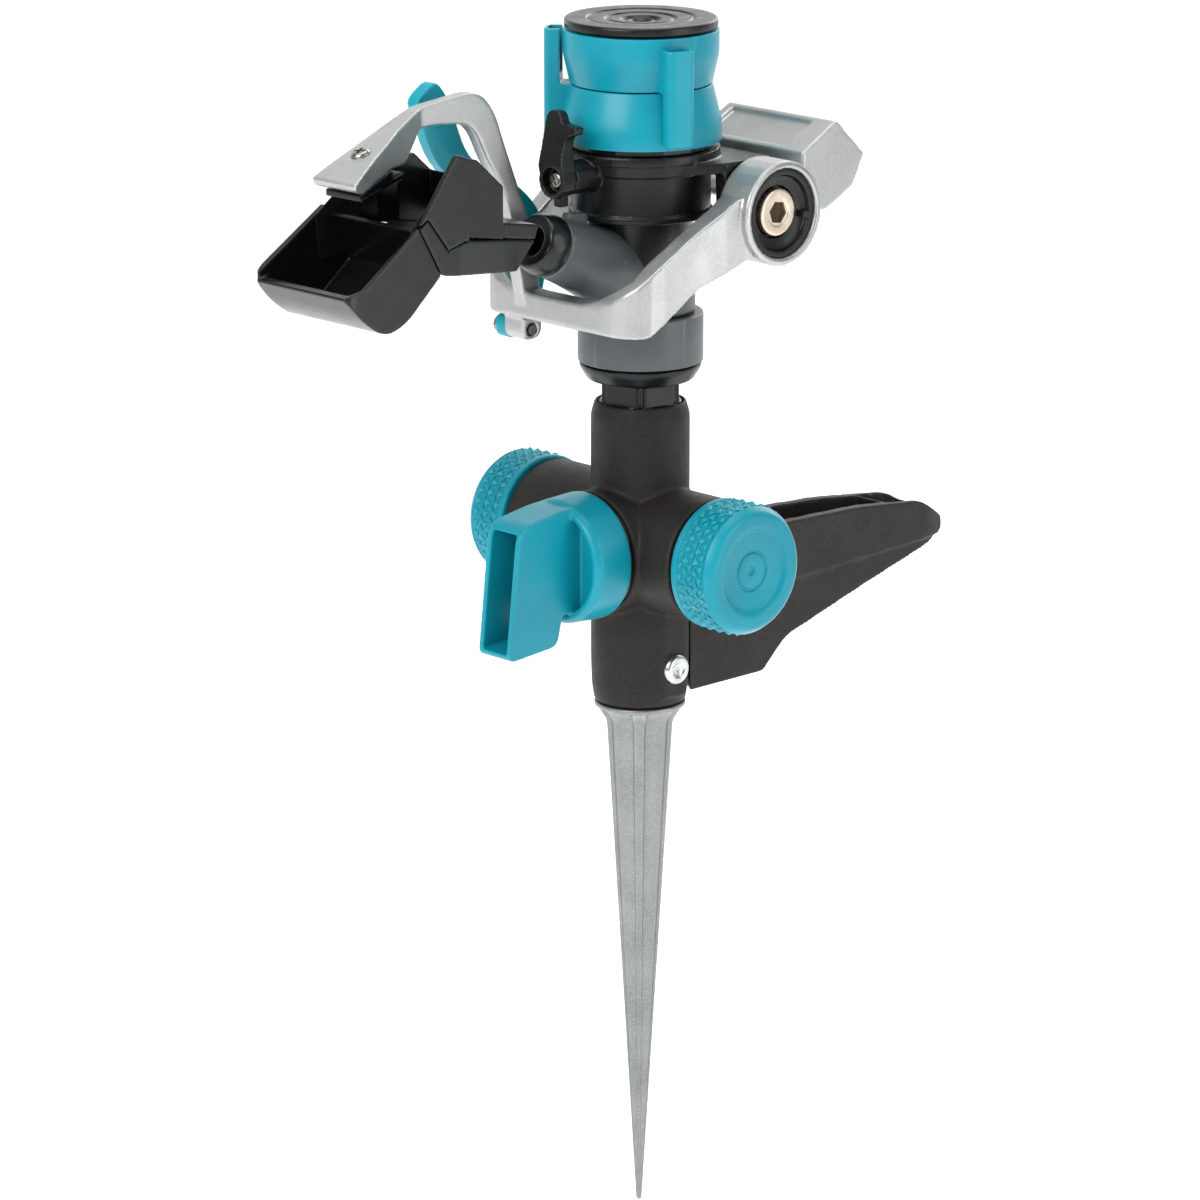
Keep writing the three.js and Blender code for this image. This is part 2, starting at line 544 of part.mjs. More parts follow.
function buildHead() {
  const collarInner = trappedR + GAP;
  place('collar_nut', revolved([[NECK_R + GAP, collarBottom], [COLLAR_R, collarBottom],
    [COLLAR_R, collarTop - 0.8],
    [COLLAR_R - 0.8, collarTop], [collarInner, collarTop], [collarInner, collarBottom + collarLip],
    [NECK_R + GAP, collarBottom + collarLip]]), greyPlastic);

  const spigotBottom = inHead(washerTop) + GAP;
  const riser = revolved([[0, spigotBottom], [collarInner - GAP, spigotBottom],
    [collarInner - GAP, riserBottom],
    [RISER_R, riserBottom], [RISER_R, JET_ROOT_Z - 1], [innerTubeR, JET_ROOT_Z - 1],
    [innerTubeR, innerTubeTop], [0, innerTubeTop]]);
  const elbow = alongJet(revolved([[0, 0], [ELBOW_ROOT_R, 0], [ELBOW_ROOT_R - 0.4, 18], [ELBOW_R, 32],
    [ELBOW_R - 0.4, ELBOW_LENGTH], [0, ELBOW_LENGTH]]));
  const fin = sidePlate([[22.6, 140], [22.6, 157], [30.8, 158.4, 0.6], [33.6, 151],
    [33.6, 140]], -1.6, 1.6);
  const bore = cylinder(RISER_BORE_R, spigotBottom - 1, innerTubeTop + 1);
  const jetBore = alongJet(cylinder(JET_BORE_R, 0, ELBOW_LENGTH + 1, SMALL_ROUND));
  placeOnHead('riser_elbow', cut(join(riser, elbow, fin), bore, jetBore), greyPlastic);

  const tipStart = ELBOW_LENGTH + GAP;
  placeOnHead('nozzle_tip', alongJet(revolved([[3.6, tipStart], [ELBOW_R, tipStart],
    [ELBOW_R, tipStart + 3],
    [ELBOW_R - 1.6, tipStart + 7.4], [4.6, tipStart + 7.4], [3.6, tipStart + 6]])), glossBlack);

  const wallTop = DRUM_TOP - DRUM_FLANGE_THICK;
  const shell = revolved([[innerTubeR + GAP, JET_ROOT_Z - 1 + GAP], [NECK_SLEEVE_R, JET_ROOT_Z - 1 + GAP],
    [NECK_SLEEVE_R, DRUM_BOTTOM], [DRUM_R + 0.6, DRUM_BOTTOM], [DRUM_R + 0.6, DRUM_BOTTOM + 2],
    [DRUM_R, DRUM_BOTTOM + 2.4], [DRUM_R, wallTop - 4], [DRUM_R + 1, wallTop - 3.4],
    [DRUM_R + 1, wallTop],
    [DRUM_FLANGE_R, wallTop], [DRUM_FLANGE_R, DRUM_TOP], [SPINDLE_R + 2, DRUM_TOP],
    [SPINDLE_R + 2, DRUM_TOP - 4],
    [DRUM_R - 2.4, DRUM_TOP - 4], [DRUM_R - 2.4, DRUM_BOTTOM + 2.4],
    [innerTubeR + GAP, DRUM_BOTTOM + 2.4]]);
  const bracketTop = DRUM_TOP - DRUM_FLANGE_THICK;
  const bracket = planPlate(mirroredPlan([[DRUM_R - 1, 6], [cheekOuter, PIVOT_FORWARD + 12, 4],
    [cheekOuter, PIVOT_FORWARD - CHEEK_BACK, 3], [DRUM_R - 4, PIVOT_FORWARD + 6, 4],
    [DRUM_R - 8, PIVOT_FORWARD + 7]]),
  bracketTop - 3.4, bracketTop);
  const cheeks = [-1, 1].map((side) => {
    const x = [side * pivotBossInner, side * cheekOuter].sort((a, b) => a - b);
    const corners = [[PIVOT_FORWARD - CHEEK_BACK, bracketTop - 1, 1],
      [PIVOT_FORWARD + 12, bracketTop - 1, 1],
      [PIVOT_FORWARD + 11.5, PIVOT_Z - 4, 8], [PIVOT_FORWARD + 3, PIVOT_Z - 11, 7],
      [PIVOT_FORWARD - 8, PIVOT_Z - 11, 7], [PIVOT_FORWARD - 11.4, PIVOT_Z - 2, 8]];
    return sidePlate(corners, ...x);
  });
  const shelf = block([-cheekOuter, cheekOuter], [PIVOT_FORWARD - 7, PIVOT_FORWARD + 4],
    [bracketTop - 3.4, bracketTop]);
  const pivotHole = alongX(cylinder(PIVOT_SCREW_R + GAP, -EYE_INNER_X, EYE_INNER_X, SMALL_ROUND),
    PIVOT_FORWARD, PIVOT_Z);
  const tripBoss = alongForward(cylinder(TRIP_HUB_R - 0.2, DRUM_R - 2, TRIP_FORWARD - GAP, SMALL_ROUND),
    0, TRIP_Z);
  const tripHole = alongForward(cylinder(1.5, TRIP_FORWARD - 8, TRIP_FORWARD + 1, SMALL_ROUND),
    0, TRIP_Z);
  const elbowRoom = alongJet(cylinder(ELBOW_ROOT_R + GAP, -2, 30));
  const housing = cut(join(shell, bracket, shelf, ...cheeks, tripBoss), elbowRoom, tripHole,
    cylinder(DRUM_R - 2.4, DRUM_BOTTOM + 2.4, DRUM_TOP - 4),
      cylinder(SPINDLE_R + 2, DRUM_BOTTOM, DRUM_TOP + 1),
    pivotHole);
  placeOnHead('drum_housing', housing, glossBlack);

  placeOnHead('spindle_bush', tube(SPINDLE_R + 1.7, SPINDLE_R + GAP, DRUM_TOP - 8, DRUM_TOP - 0.2,
    SMALL_ROUND), whitePlastic);
  placeOnHead('spindle_o_ring', tube(SPINDLE_R + 1.9, SPINDLE_R + 0.2, DRUM_TOP - 10.4, DRUM_TOP - 8.4,
    SMALL_ROUND), rubber);
}

function buildPivotScrew(side) {
  const tail = pivotBossInner - 2;
  const headBottom = EYE_INNER_X + EYE_WIDTH - 5.4;
  const headTop = headBottom + 2.2;
  const screw = revolved([[0, tail], [PIVOT_SCREW_R, tail], [PIVOT_SCREW_R, headBottom],
    [PIVOT_HEAD_R, headBottom],
    [PIVOT_HEAD_R, headTop - 0.5], [PIVOT_HEAD_R - 0.5, headTop], [0, headTop]]);
  const socket = cylinder(3.5, headTop - 1.6, headTop + 1, 6);
  const laid = alongX(cut(screw, socket), 0, 0);
  placeOnHead(`pivot_screw_${side}`, (side === 'left' ? mirroredX(laid) : laid)
    .translate(0, -PIVOT_FORWARD, PIVOT_Z), nickel);
}

// ---------------------------------------------------------------- sector rings

function buildRings() {
  const flangeTop = hubBottom + 1.3;
  const lowerBottom = flangeTop + GAP;
  const lowerTop = lowerBottom + LOWER_RING_HEIGHT;
  const upperBottom = lowerTop + GAP;
  const upperTop = upperBottom + UPPER_RING_HEIGHT;
  const inner = HUB_R + GAP;
  placeOnHead('ring_hub', revolved([[SPINDLE_R + GAP, hubBottom], [RING_WAIST_R, hubBottom],
    [RING_WAIST_R, flangeTop],
    [HUB_R, flangeTop], [HUB_R, hubTop], [HUB_R - 2.4, hubTop], [HUB_R - 2.4, flangeTop + 1.5],
    [SPINDLE_R + 3, flangeTop + 1.5], [SPINDLE_R + 3, hubBottom + 20],
    [SPINDLE_R + GAP, hubBottom + 20]]), glossBlack);

  const lowerRing = revolved([[inner, lowerBottom], [LOWER_RING_R, lowerBottom],
    [LOWER_RING_R, lowerBottom + 5.6],
    [RING_WAIST_R, lowerTop], [inner, lowerTop]]);
  const upperRing = revolved([[inner, upperBottom], [RING_WAIST_R, upperBottom],
    [UPPER_RING_R, upperTop - 7.3],
    [UPPER_RING_R, upperTop], [inner, upperTop]]);

  // Each tab is a hollow prism. It is modelled forward of the axis and turned to its azimuth.
  const tab = (low, high, insideR, rootLow, rootHigh, wellR) => {
    const prism = planPlate(mirroredPlan([[4.6, insideR], [4.6, TAB_REACH - 3, 1],
      [3.4, TAB_REACH - 0.4, 1]]), low, high);
    const root = planPlate(mirroredPlan([[4.6, RING_WAIST_R - 1.5], [4.6, TAB_REACH - 3]]),
      rootLow, rootHigh);
    const well = planPlate(mirroredPlan([[3.0, wellR], [3.0, TAB_REACH - 1.5]]), high - 11.8, high + 1);
    return cut(join(prism, root), well);
  };
  const turned = (geometry, azimuth) => geometry.rotateZ(THREE.MathUtils.degToRad(azimuth));
  const clearOf = (radius) => radius + GAP + 0.1;
  const upperTab = tab(lowerBottom + 1.6, upperTop - 3, clearOf(LOWER_RING_R), upperBottom, upperTop - 3,
    UPPER_RING_R + 0.7);
  const lowerTab = tab(lowerBottom, upperTop - 0.2, clearOf(UPPER_RING_R) + 0.2, lowerBottom, lowerTop,
    UPPER_RING_R + 1.9);
  const bore = cylinder(inner, lowerBottom - 5, upperTop + 5);
  placeOnHead('sector_ring_upper', cut(join(upperRing, turned(upperTab, UPPER_TAB_AZIMUTH)), bore),
    tealPlastic);
  placeOnHead('sector_ring_lower', cut(join(lowerRing, turned(lowerTab, LOWER_TAB_AZIMUTH)), bore),
    tealPlastic);

  const discBottom = hubTop + GAP;
  const discTop = discBottom + DISC_THICK;
  placeOnHead('top_disc', revolved([[0, discBottom], [DISC_R, discBottom], [DISC_R, discTop - 0.6],
    [DISC_R - 0.6, discTop],
    [16, discTop], [15, discTop - 0.7], [10, discTop - 0.7], [9, discTop - 1.3], [4.6, discTop - 1.3],
    [3.6, discTop - 2], [0, discTop - 2]]), glossBlack);
}

// ---------------------------------------------------------------- trip lever

function buildTripLever() {
  const thick = 5.6;
  const front = TRIP_FORWARD + thick;
  const face = frontPlate([[-4.4, TRIP_Z], [-5.8, TRIP_Z + 4, 2], [-5.2, TRIP_Z + 12, 4],
    [-4.4, TRIP_Z + 20.8, 3],
    [1.2, TRIP_Z + 20.8, 3], [2.4, TRIP_Z + 17.2, 1], [8.4, TRIP_Z + 16.6, 0.6],
    [8.2, TRIP_Z + 14.4, 0.6],
    [4.4, TRIP_Z + 13.4, 1.5], [3.6, TRIP_Z + 9, 3], [4.8, TRIP_Z + 4, 2],
    [4.2, TRIP_Z]], TRIP_FORWARD, front);
  const taper = sidePlate([[TRIP_FORWARD - 1, TRIP_Z - 1], [TRIP_FORWARD - 1, TRIP_Z + 22],
    [TRIP_FORWARD + 2.8, TRIP_Z + 22],
    [TRIP_FORWARD + 4.6, TRIP_Z + 9, 4], [front + 0.1, TRIP_Z + 4], [front + 0.1, TRIP_Z - 1]], -12, 12);
  const blade = overlap(face, taper);
  const hub = alongForward(cylinder(TRIP_HUB_R, TRIP_FORWARD, front, SMALL_ROUND), 0, TRIP_Z);
  const bowl = alongForward(cylinder(TRIP_HUB_R - 1.3, TRIP_FORWARD + 2.4, front + 1, SMALL_ROUND),
    0, TRIP_Z);
  const tail = block([-1.6, 1.6], [TRIP_FORWARD, TRIP_FORWARD + 3], [TRIP_Z - 8.2, TRIP_Z - 3]);
  const screwHole = alongForward(cylinder(1.5, TRIP_FORWARD - 1, front + 1, SMALL_ROUND), 0, TRIP_Z);
  placeOnHead('trip_lever', cut(join(blade, hub, tail), bowl, screwHole), glossBlack);
  const seat = TRIP_FORWARD + 2.4 + GAP;
  const screw = join(cylinder(1.2, TRIP_FORWARD - 7, seat + 0.2, SMALL_ROUND),
    cylinder(2.7, seat, seat + 1.6, SMALL_ROUND));
  placeOnHead('trip_screw', alongForward(screw, 0, TRIP_Z), stainless);
}

// ---------------------------------------------------------------- rocker

const eyeOuterX = EYE_INNER_X + EYE_WIDTH;
const crossbarRear = CROSSBAR_FORWARD - CROSSBAR_THICK / 2;
const crossbarFront = CROSSBAR_FORWARD + CROSSBAR_THICK / 2;
const crossbarBottom = CROSSBAR_TOP - CROSSBAR_HEIGHT;
const beakTopZ = (forward) =>
  BEAK_START.z - (forward - BEAK_START.forward) * Math.tan(THREE.MathUtils.degToRad(BEAK_SLOPE));

function buildRocker() {
  const yokeSide = sidePlate([[PIVOT_FORWARD, PIVOT_Z + 9], [-4, PIVOT_Z + 6.4, 4], [12.5, PIVOT_Z - 3.6],
    [28, PIVOT_Z - 13, 6], [crossbarFront, CROSSBAR_TOP + 3, 4], [crossbarFront, crossbarBottom, 1.5],
    [crossbarRear, crossbarBottom, 1.5], [10.5, PIVOT_Z - 19.6], [-8, PIVOT_Z - 12.4],
    [PIVOT_FORWARD, PIVOT_Z - 11]],
  -45, 45);
  const yokePlan = planPlate(yokeOutline(), crossbarBottom - 10, PIVOT_Z + 20);
  const trimHalf = YOKE_HALF_WIDTH - YOKE_ARM_THICK - 1;
  const barTrim = frontPlate([[-trimHalf, PIVOT_Z + 20], [-trimHalf, CROSSBAR_TOP + 8.5],
    [-21, CROSSBAR_TOP + 2.6, 6],
    [-13, CROSSBAR_TOP, 4], [13, CROSSBAR_TOP, 4], [21, CROSSBAR_TOP + 2.6, 6],
    [trimHalf, CROSSBAR_TOP + 8.5],
    [trimHalf, PIVOT_Z + 20]], CROSSBAR_FORWARD - 13, CROSSBAR_FORWARD + 13);
  const yoke = cut(overlap(yokeSide, yokePlan), barTrim);

  const eyes = [-1, 1].map((side) => {
    const low = Math.min(side * EYE_INNER_X, side * eyeOuterX);
    return alongX(cylinder(EYE_R, low, low + EYE_WIDTH), PIVOT_FORWARD, PIVOT_Z);
  });

  const weight = overlap(
    sidePlate([[-46.4, 181.2, 0.8], [-59.4, 169.4, 0.8], [-53.8, 160, 0.8], [-42, 154.6], [-30, 154.6],
      [-29.6, 172.6, 1]],
      -9, eyeOuterX - 1),
    planPlate([[-9, -31, 3], [-9, -62, 5], [eyeOuterX - 6, -62, 2], [eyeOuterX - 4, -31, 1]], 140, 200));
  const weightPanel = sidePlate([[-44.6, 185], [-44.6, 178.9], [-33, 173.2],
    [-33, 185]], -5.5, EYE_INNER_X - 1);
  const shapedWeight = cut(weight, weightPanel);

  const neckSide = sidePlate([[crossbarRear + 0.6, crossbarBottom + 2], [32.6, 149, 4], [35.7, 157, 4],
    [45, 179.8, 3], [48.6, 189.6, 5], [55, 196.4, 8], [66, 195.2, 4],
    [BEAK_START.forward, BEAK_START.z, 4],
    [BEAK_FRONT, beakTopZ(BEAK_FRONT), 0.8], [BEAK_FRONT - 1, beakTopZ(BEAK_FRONT) - BEAK_WALL],
    [117.3, 175.9, 1],
    [95.7, 179], [87.7, 178.4, 2], [82, 184, 3], [78, 188.2, 4], [66, 187.6, 6], [57.5, 186.2, 5],
    [51.8, 175.1, 3], [44, 163, 8], [39, CROSSBAR_TOP + 6, 5],
    [crossbarFront - 0.4, crossbarBottom + 2]], -30, 30);
  const neckOuterX = NECK_INNER_X - NECK_WIDTH;
  const neckPlan = planPlate([[neckOuterX, 20], [neckOuterX, BEAK_START.forward], ...beakOutline(0),
    [NECK_INNER_X, BEAK_START.forward], [NECK_INNER_X, 20]], 110, 210);
  const beakHollow = overlap(
    sidePlate([[84, 150], [84, beakTopZ(84) - BEAK_WALL], [130, beakTopZ(130) - BEAK_WALL],
      [130, 150]], -30, 30),
    planPlate(beakOutline(WALL), 150, 200));
  const neck = cut(overlap(neckSide, neckPlan), beakHollow);

  const lug = sidePlate([[LEVER_PIVOT.forward - 4, crossbarBottom + 1],
    [LEVER_PIVOT.forward - 4.2, LEVER_PIVOT.z - 3, 3.6],
    [LEVER_PIVOT.forward + 4.2, LEVER_PIVOT.z - 3, 3.6], [LEVER_PIVOT.forward + 4, crossbarBottom + 1]],
  LEVER_X + LEVER_THICK / 2 + GAP, LEVER_X + LEVER_THICK / 2 + GAP + 8);
  const lugHole = alongX(cylinder(1.6 + GAP, -30, 0, SMALL_ROUND), LEVER_PIVOT.forward, LEVER_PIVOT.z);
  const eyeBore = alongX(cylinder(EYE_BORE_R, -50, 50), PIVOT_FORWARD, PIVOT_Z);
  const beakHole = alongBeak(join(cylinder(BEAK_SCREW_R + 0.6, -12, 10, SMALL_ROUND),
    cylinder(BEAK_SCREW_HEAD_R + GAP, -0.5, 10, SMALL_ROUND)));
  placeOnHead('rocker_arm', cut(join(yoke, ...eyes, shapedWeight, neck, lug),
    lugHole, eyeBore, beakHole), castMetal);
}

// The beak from above: it widens from the gooseneck towards its front edge.
const beakOutline = (inset) => [[-14.8 + inset, 89.7 + 1.5 * inset], [-12.7 + inset, 101.5],
  [-11 + inset, 113.9],
  [-9 + inset, BEAK_FRONT - inset], [10.2 - 1.6 * inset, BEAK_FRONT - inset], [6.6 - 1.2 * inset, 116.6],
  [1.7 - 1.2 * inset, 107.5], [-2.4 - 1.2 * inset, 99], [-6.6 - 1.2 * inset, 91.1 + 1.5 * inset]];

// Turn something made about Z, with its seat at 0, so that it stands on the beak's slope.
const alongBeak = (geometry) => geometry.rotateX(THREE.MathUtils.degToRad(BEAK_SLOPE))
  .translate(BEAK_SCREW.x, -BEAK_SCREW.forward, beakTopZ(BEAK_SCREW.forward));

// The yoke from above: two arms that close in a rounded crossbar. The left inner corner stays tight,
// because the jet lever passes there.
function yokeOutline() {
  const armThick = YOKE_ARM_THICK;
  const outerHalf = [[eyeOuterX - 1.6, PIVOT_FORWARD], [YOKE_HALF_WIDTH + 2.4, 2],
    [YOKE_HALF_WIDTH, 11, 4],
    [YOKE_HALF_WIDTH - 1.6, crossbarFront, 14]];
  const innerHalf = (cornerR) => [[YOKE_HALF_WIDTH - armThick - 1, crossbarRear, cornerR],
    [YOKE_HALF_WIDTH - armThick, 12, 4], [YOKE_HALF_WIDTH + 1.6 - armThick, 2],
    [EYE_INNER_X + 0.4, PIVOT_FORWARD]];
  const flip = ([x, f, r]) => [-x, f, r];
  return [...outerHalf, ...outerHalf.map(flip).reverse(), ...innerHalf(1).map(flip).reverse(),
    ...innerHalf(9)];
}

function buildBush(side) {
  const inner = EYE_INNER_X + 0.4;
  const face = eyeOuterX - 1;
  const bush = cut(revolved([[PIVOT_SCREW_R + GAP, inner], [EYE_BORE_R - GAP, inner],
    [EYE_BORE_R - GAP, face],
    [EYE_BORE_R - 3, face], [EYE_BORE_R - 4, face - 3.2], [PIVOT_HEAD_R + 0.8, face - 4.6],
    [PIVOT_HEAD_R + 0.8, eyeOuterX - 5.4 - GAP], [PIVOT_SCREW_R + GAP, eyeOuterX - 5.4 - GAP]]),
  block([EYE_BORE_R - 3.4, EYE_BORE_R - 1.6], [-0.8, 0.8], [face - 1.4, face + 1]));
  const laid = alongX(bush, 0, 0);
  placeOnHead(`pivot_bush_${side}`, (side === 'left' ? mirroredX(laid) : laid)
    .translate(0, -PIVOT_FORWARD, PIVOT_Z), glossBlack);
}

function buildScoop() {
  const half = SCOOP_HALF_WIDTH;
  const wall = WALL;
  // chute: two side walls and a floor that turns up into the front lip
  const chuteSide = [[107.4, 166.4], [99, 151.6], [112.4, 139.4, 4], [120.6, 136.6, 5], [129, 142.4, 4],
    [135.7, 149.8, 1], [128, 151.6]];
  const chuteHollow = [[111, 170], [100.4, 151.4, 1], [113.4, 141, 4], [119.8, 138.8, 4],
    [127.4, 144.2, 3],
    [138, 157.4]];
  const leftWall = [[106.8, 165.4], [109.6, 168.6], [135.2, 152.4, 1], [134.6, 149.4], [127, 147],
    [112, 150]];
  const front = 136.6;                       // the lip's two corners are rounded, seen from above
  const traySeen = (inset) => planPlate([[half - inset, 90], [half - inset, front - inset, 5],
    [-half + inset, front - inset, 5], [-half + inset, 90]], 120, 200);
  const body = overlap(join(sidePlate(chuteSide, -half, half), sidePlate(leftWall, -half, -half + wall)),
    traySeen(0));
  const chute = cut(body, overlap(sidePlate(chuteHollow, -half, half), traySeen(wall)));
  const floorRib = overlap(sidePlate(chuteSide, -0.5, 0.5),
    sidePlate([[99, 152], [112.4, 141.4, 4], [119.6, 139.2, 4], [128, 145.6], [128, 130],
      [99, 130]], -0.5, 0.5));
  placeOnHead('deflector_scoop', join(chute, floorRib), glossBlack);

  // upper shell of the jet guide: side cheeks, a cross plate under the beak and a short roof at the back
  const upperOutline = [[107, 166.9], [92.6, 186.2, 1], [87.4, 184.2], [81, 182.6], [70.6, 173.4],
    [70.6, 162.6],
    [55.6, 160], [57.1, 155.8], [89.1, 160.65, 2], [95.95, 158.72], [103.75, 168.75]];
  const plan = (inset) => mirroredPlan([[half - inset, 112], [half - inset, 88], [half - 4.2 - inset, 85],
    [half - 4.2 - inset, 71], [DUCT_HALF_WIDTH - inset, 69], [DUCT_HALF_WIDTH - inset, 50]]);
  const solid = overlap(sidePlate(upperOutline, -half, half), planPlate(plan(0), 140, 200));
  const room = overlap(
    sidePlate([[110, 200], [110, 140], [50, 140], [50, 158.4], [69, 160.9], [72.4, 164],
      [72.4, 200]], -half, half),
    planPlate(plan(wall), 140, 200));
  const leftTrim = sidePlate([[108, 170.9], [75, 181.5], [60, 175.1], [60, 215], [130, 215],
    [130, 170.9]],
    -half - 1, -half + 8);
  // a tongue from the left cheek carries the plate under the beak
  const tongue = sidePlate([[88, 176.8], [104.6, 171.4], [104.6, 169.4], [88, 174.6]], -half, -8);
  const rib = sidePlate([[93, 176.6], [104, 175.6], [104, 170], [93, 174]], -10.6, -8);
  const plate = overlap(
    sidePlate([[93, 178.2], [95.7, 178.6], [104.9, 177.1], [117, 175.4], [117, 173.4], [104, 174.2],
      [93, 175]],
      -half, half),
    planPlate(beakOutline(0.8), 150, 200));
  const screwBoss = alongBeak(cylinder(2.8, -8.6, -BEAK_WALL - GAP, SMALL_ROUND));
  const screwHole = alongBeak(cylinder(BEAK_SCREW_R + GAP, -14, 10, SMALL_ROUND));
  const shell = cut(solid, room, leftTrim);
  placeOnHead('guide_upper', cut(join(shell, tongue, rib, plate, screwBoss), screwHole), glossBlack);

  // lower shell: a trough that closes the duct from below
  const lowerOutline = [[103.8, 168.2], [96, 158.2], [89, 160.3, 2], [57.2, 155.5], [64.4, 147.2],
    [96.8, 151.2],
    [98.6, 151.8], [106.8, 166]];
  const lowerPlan = (inset) => mirroredPlan([[half - inset, 112], [half - inset, 92],
    [DUCT_HALF_WIDTH - inset, 64],
    [DUCT_HALF_WIDTH - inset, 50]]);
  const trough = overlap(sidePlate(lowerOutline, -half, half), planPlate(lowerPlan(0), 140, 200));
  const troughRoom = overlap(
    sidePlate([[50, 200], [50, 147], [64, 149], [96, 153], [112, 158], [112, 200]], -half, half),
    planPlate(lowerPlan(wall), 140, 200));
  placeOnHead('guide_lower', cut(trough, troughRoom), glossBlack);

  const screw = join(cylinder(BEAK_SCREW_R, -8, 0, SMALL_ROUND),
    cylinder(BEAK_SCREW_HEAD_R, -0.2, 1.2, SMALL_ROUND));
  placeOnHead('beak_screw', alongBeak(screw), stainless);
}

function buildJetLever() {
  const low = LEVER_X - LEVER_THICK / 2;
  const high = LEVER_X + LEVER_THICK / 2;
  const behindBar = crossbarRear - SWING_GAP;
  const blade = sidePlate([[70.4, 193.4, 3], [62.3, 199, 3], [57.6, 193.6, 5], [49, 172.6, 8],
    [30.5, 164.6, 8],
    [18.4, 152.6, 8], [18, 129, 8], [LEVER_PIVOT.forward - 3.4, LEVER_PIVOT.z - 3.6, 2],
    [LEVER_PIVOT.forward + 3, LEVER_PIVOT.z - 3.6, 3], [LEVER_PIVOT.forward + 3.6, LEVER_PIVOT.z + 3.6,
    3],
    [behindBar, LEVER_PIVOT.z + 3.6, 1], [behindBar, 143, 4], [38, 154, 6], [62.5, 173.4, 8]], low, high);
  const pinHole = alongX(cylinder(1.6 + GAP, low - 1, high + 1, SMALL_ROUND),
    LEVER_PIVOT.forward, LEVER_PIVOT.z);
  placeOnHead('jet_lever', cut(blade, pinHole), tealPlastic);
  const pinStart = low - 1.4;
  const pinEnd = high + GAP + 8 + 0.6;
  const pin = join(cylinder(1.6, pinStart, pinEnd, SMALL_ROUND),
    cylinder(2.8, pinStart, low - GAP, SMALL_ROUND));
  placeOnHead('jet_lever_pin', alongX(pin, LEVER_PIVOT.forward, LEVER_PIVOT.z), stainless);
}

// ---------------------------------------------------------------- assembly

buildSpike();
buildTapBody();
buildEndCap('right', RIGHT_ARM);
buildEndCap('left', LEFT_ARM);
buildValve();
buildPedal();
buildSwivel();
buildHead();
for (const side of ['right', 'left']) {
  buildPivotScrew(side);
  buildBush(side);
}
buildRings();
buildTripLever();
buildRocker();
buildScoop();
buildJetLever();

export default sprinkler;
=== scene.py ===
# Impact sprinkler on a ground spike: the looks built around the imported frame.
#
# Metres in Blender; the sizes below are in millimetres and are scaled by MM as they are used.
# "forward" is the distance along -Y, the way that the jet and the valve handle point.

import math

import bmesh
import bpy
from mathutils import Matrix, Vector


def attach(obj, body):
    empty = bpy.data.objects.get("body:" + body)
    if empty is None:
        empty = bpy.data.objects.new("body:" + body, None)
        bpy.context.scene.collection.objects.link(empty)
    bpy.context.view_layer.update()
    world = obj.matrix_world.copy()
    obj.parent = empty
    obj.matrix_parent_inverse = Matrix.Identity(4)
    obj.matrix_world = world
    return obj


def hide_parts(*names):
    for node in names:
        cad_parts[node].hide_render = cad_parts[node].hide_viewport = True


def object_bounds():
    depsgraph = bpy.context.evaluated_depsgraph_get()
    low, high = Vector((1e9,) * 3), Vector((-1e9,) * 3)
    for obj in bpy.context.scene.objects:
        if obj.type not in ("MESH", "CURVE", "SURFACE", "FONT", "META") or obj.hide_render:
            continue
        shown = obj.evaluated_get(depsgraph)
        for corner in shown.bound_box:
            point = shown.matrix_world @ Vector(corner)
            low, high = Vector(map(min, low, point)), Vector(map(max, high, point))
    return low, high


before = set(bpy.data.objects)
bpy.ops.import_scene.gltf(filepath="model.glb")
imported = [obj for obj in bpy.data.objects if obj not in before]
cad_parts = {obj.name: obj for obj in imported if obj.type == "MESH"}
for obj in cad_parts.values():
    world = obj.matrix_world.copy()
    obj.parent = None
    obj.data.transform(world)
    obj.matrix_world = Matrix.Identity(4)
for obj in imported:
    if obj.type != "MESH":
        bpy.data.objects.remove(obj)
cad_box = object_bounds()

MM = 0.001

# ---------------------------------------------------------------- sizes, in mm

FLOW_Z = 51.4          # height of the through-flow arm and of the valve
BODY_R = 15.1
BODY_TOP = 96.6
ARM_R = 19.2
RIGHT_ARM = 31.8
LEFT_ARM = 39.6
CAP_R = 20.0
CAP_LENGTH = 16.7
CAP_INNER = {"right": 33.5, "left": 41.3}
HEX_ACROSS_FLATS = 23.4
HEX_TURN = 16          # of the hexagon's first corner from X, in degrees
COLLAR_R = 19.1
PIVOT = Vector((0, 19, 157))      # of the rocker, on the head's cheeks
EYE_FACE = 42.0                   # outer face of the rocker's eyes
KEY_CORNER_R = 3.6                # of the hexagon sockets in the pivot screws
JET_ROOT = Vector((0, 0, 133))
JET_TILT = math.radians(22.5)
RING_BORE = 18.3
RING_FOOT = 176.8                 # underside of the lower ring
RING_SPLIT = 193.7                # top of the lower ring
RING_CROWN = 210.2                # top of the upper ring
DISC_R = 23.1
DISC_FOOT = 211
PIN_Z = 14.2                      # of the cross pin through the tap body's foot
BEAK_SLOPE = math.radians(18)     # the beak falls by this from the gooseneck to its tip
SPIKE_LENGTH = 162.6


# ---------------------------------------------------------------- finishes

def linear(hex_colour, alpha=1.0):
    """An sRGB hex colour as the linear RGBA that the shader takes."""
    channels = [int(hex_colour[i:i + 2], 16) / 255 for i in (1, 3, 5)]
    straight = [c / 12.92 if c <= 0.04045 else ((c + 0.055) / 1.055) ** 2.4 for c in channels]
    return (*straight, alpha)


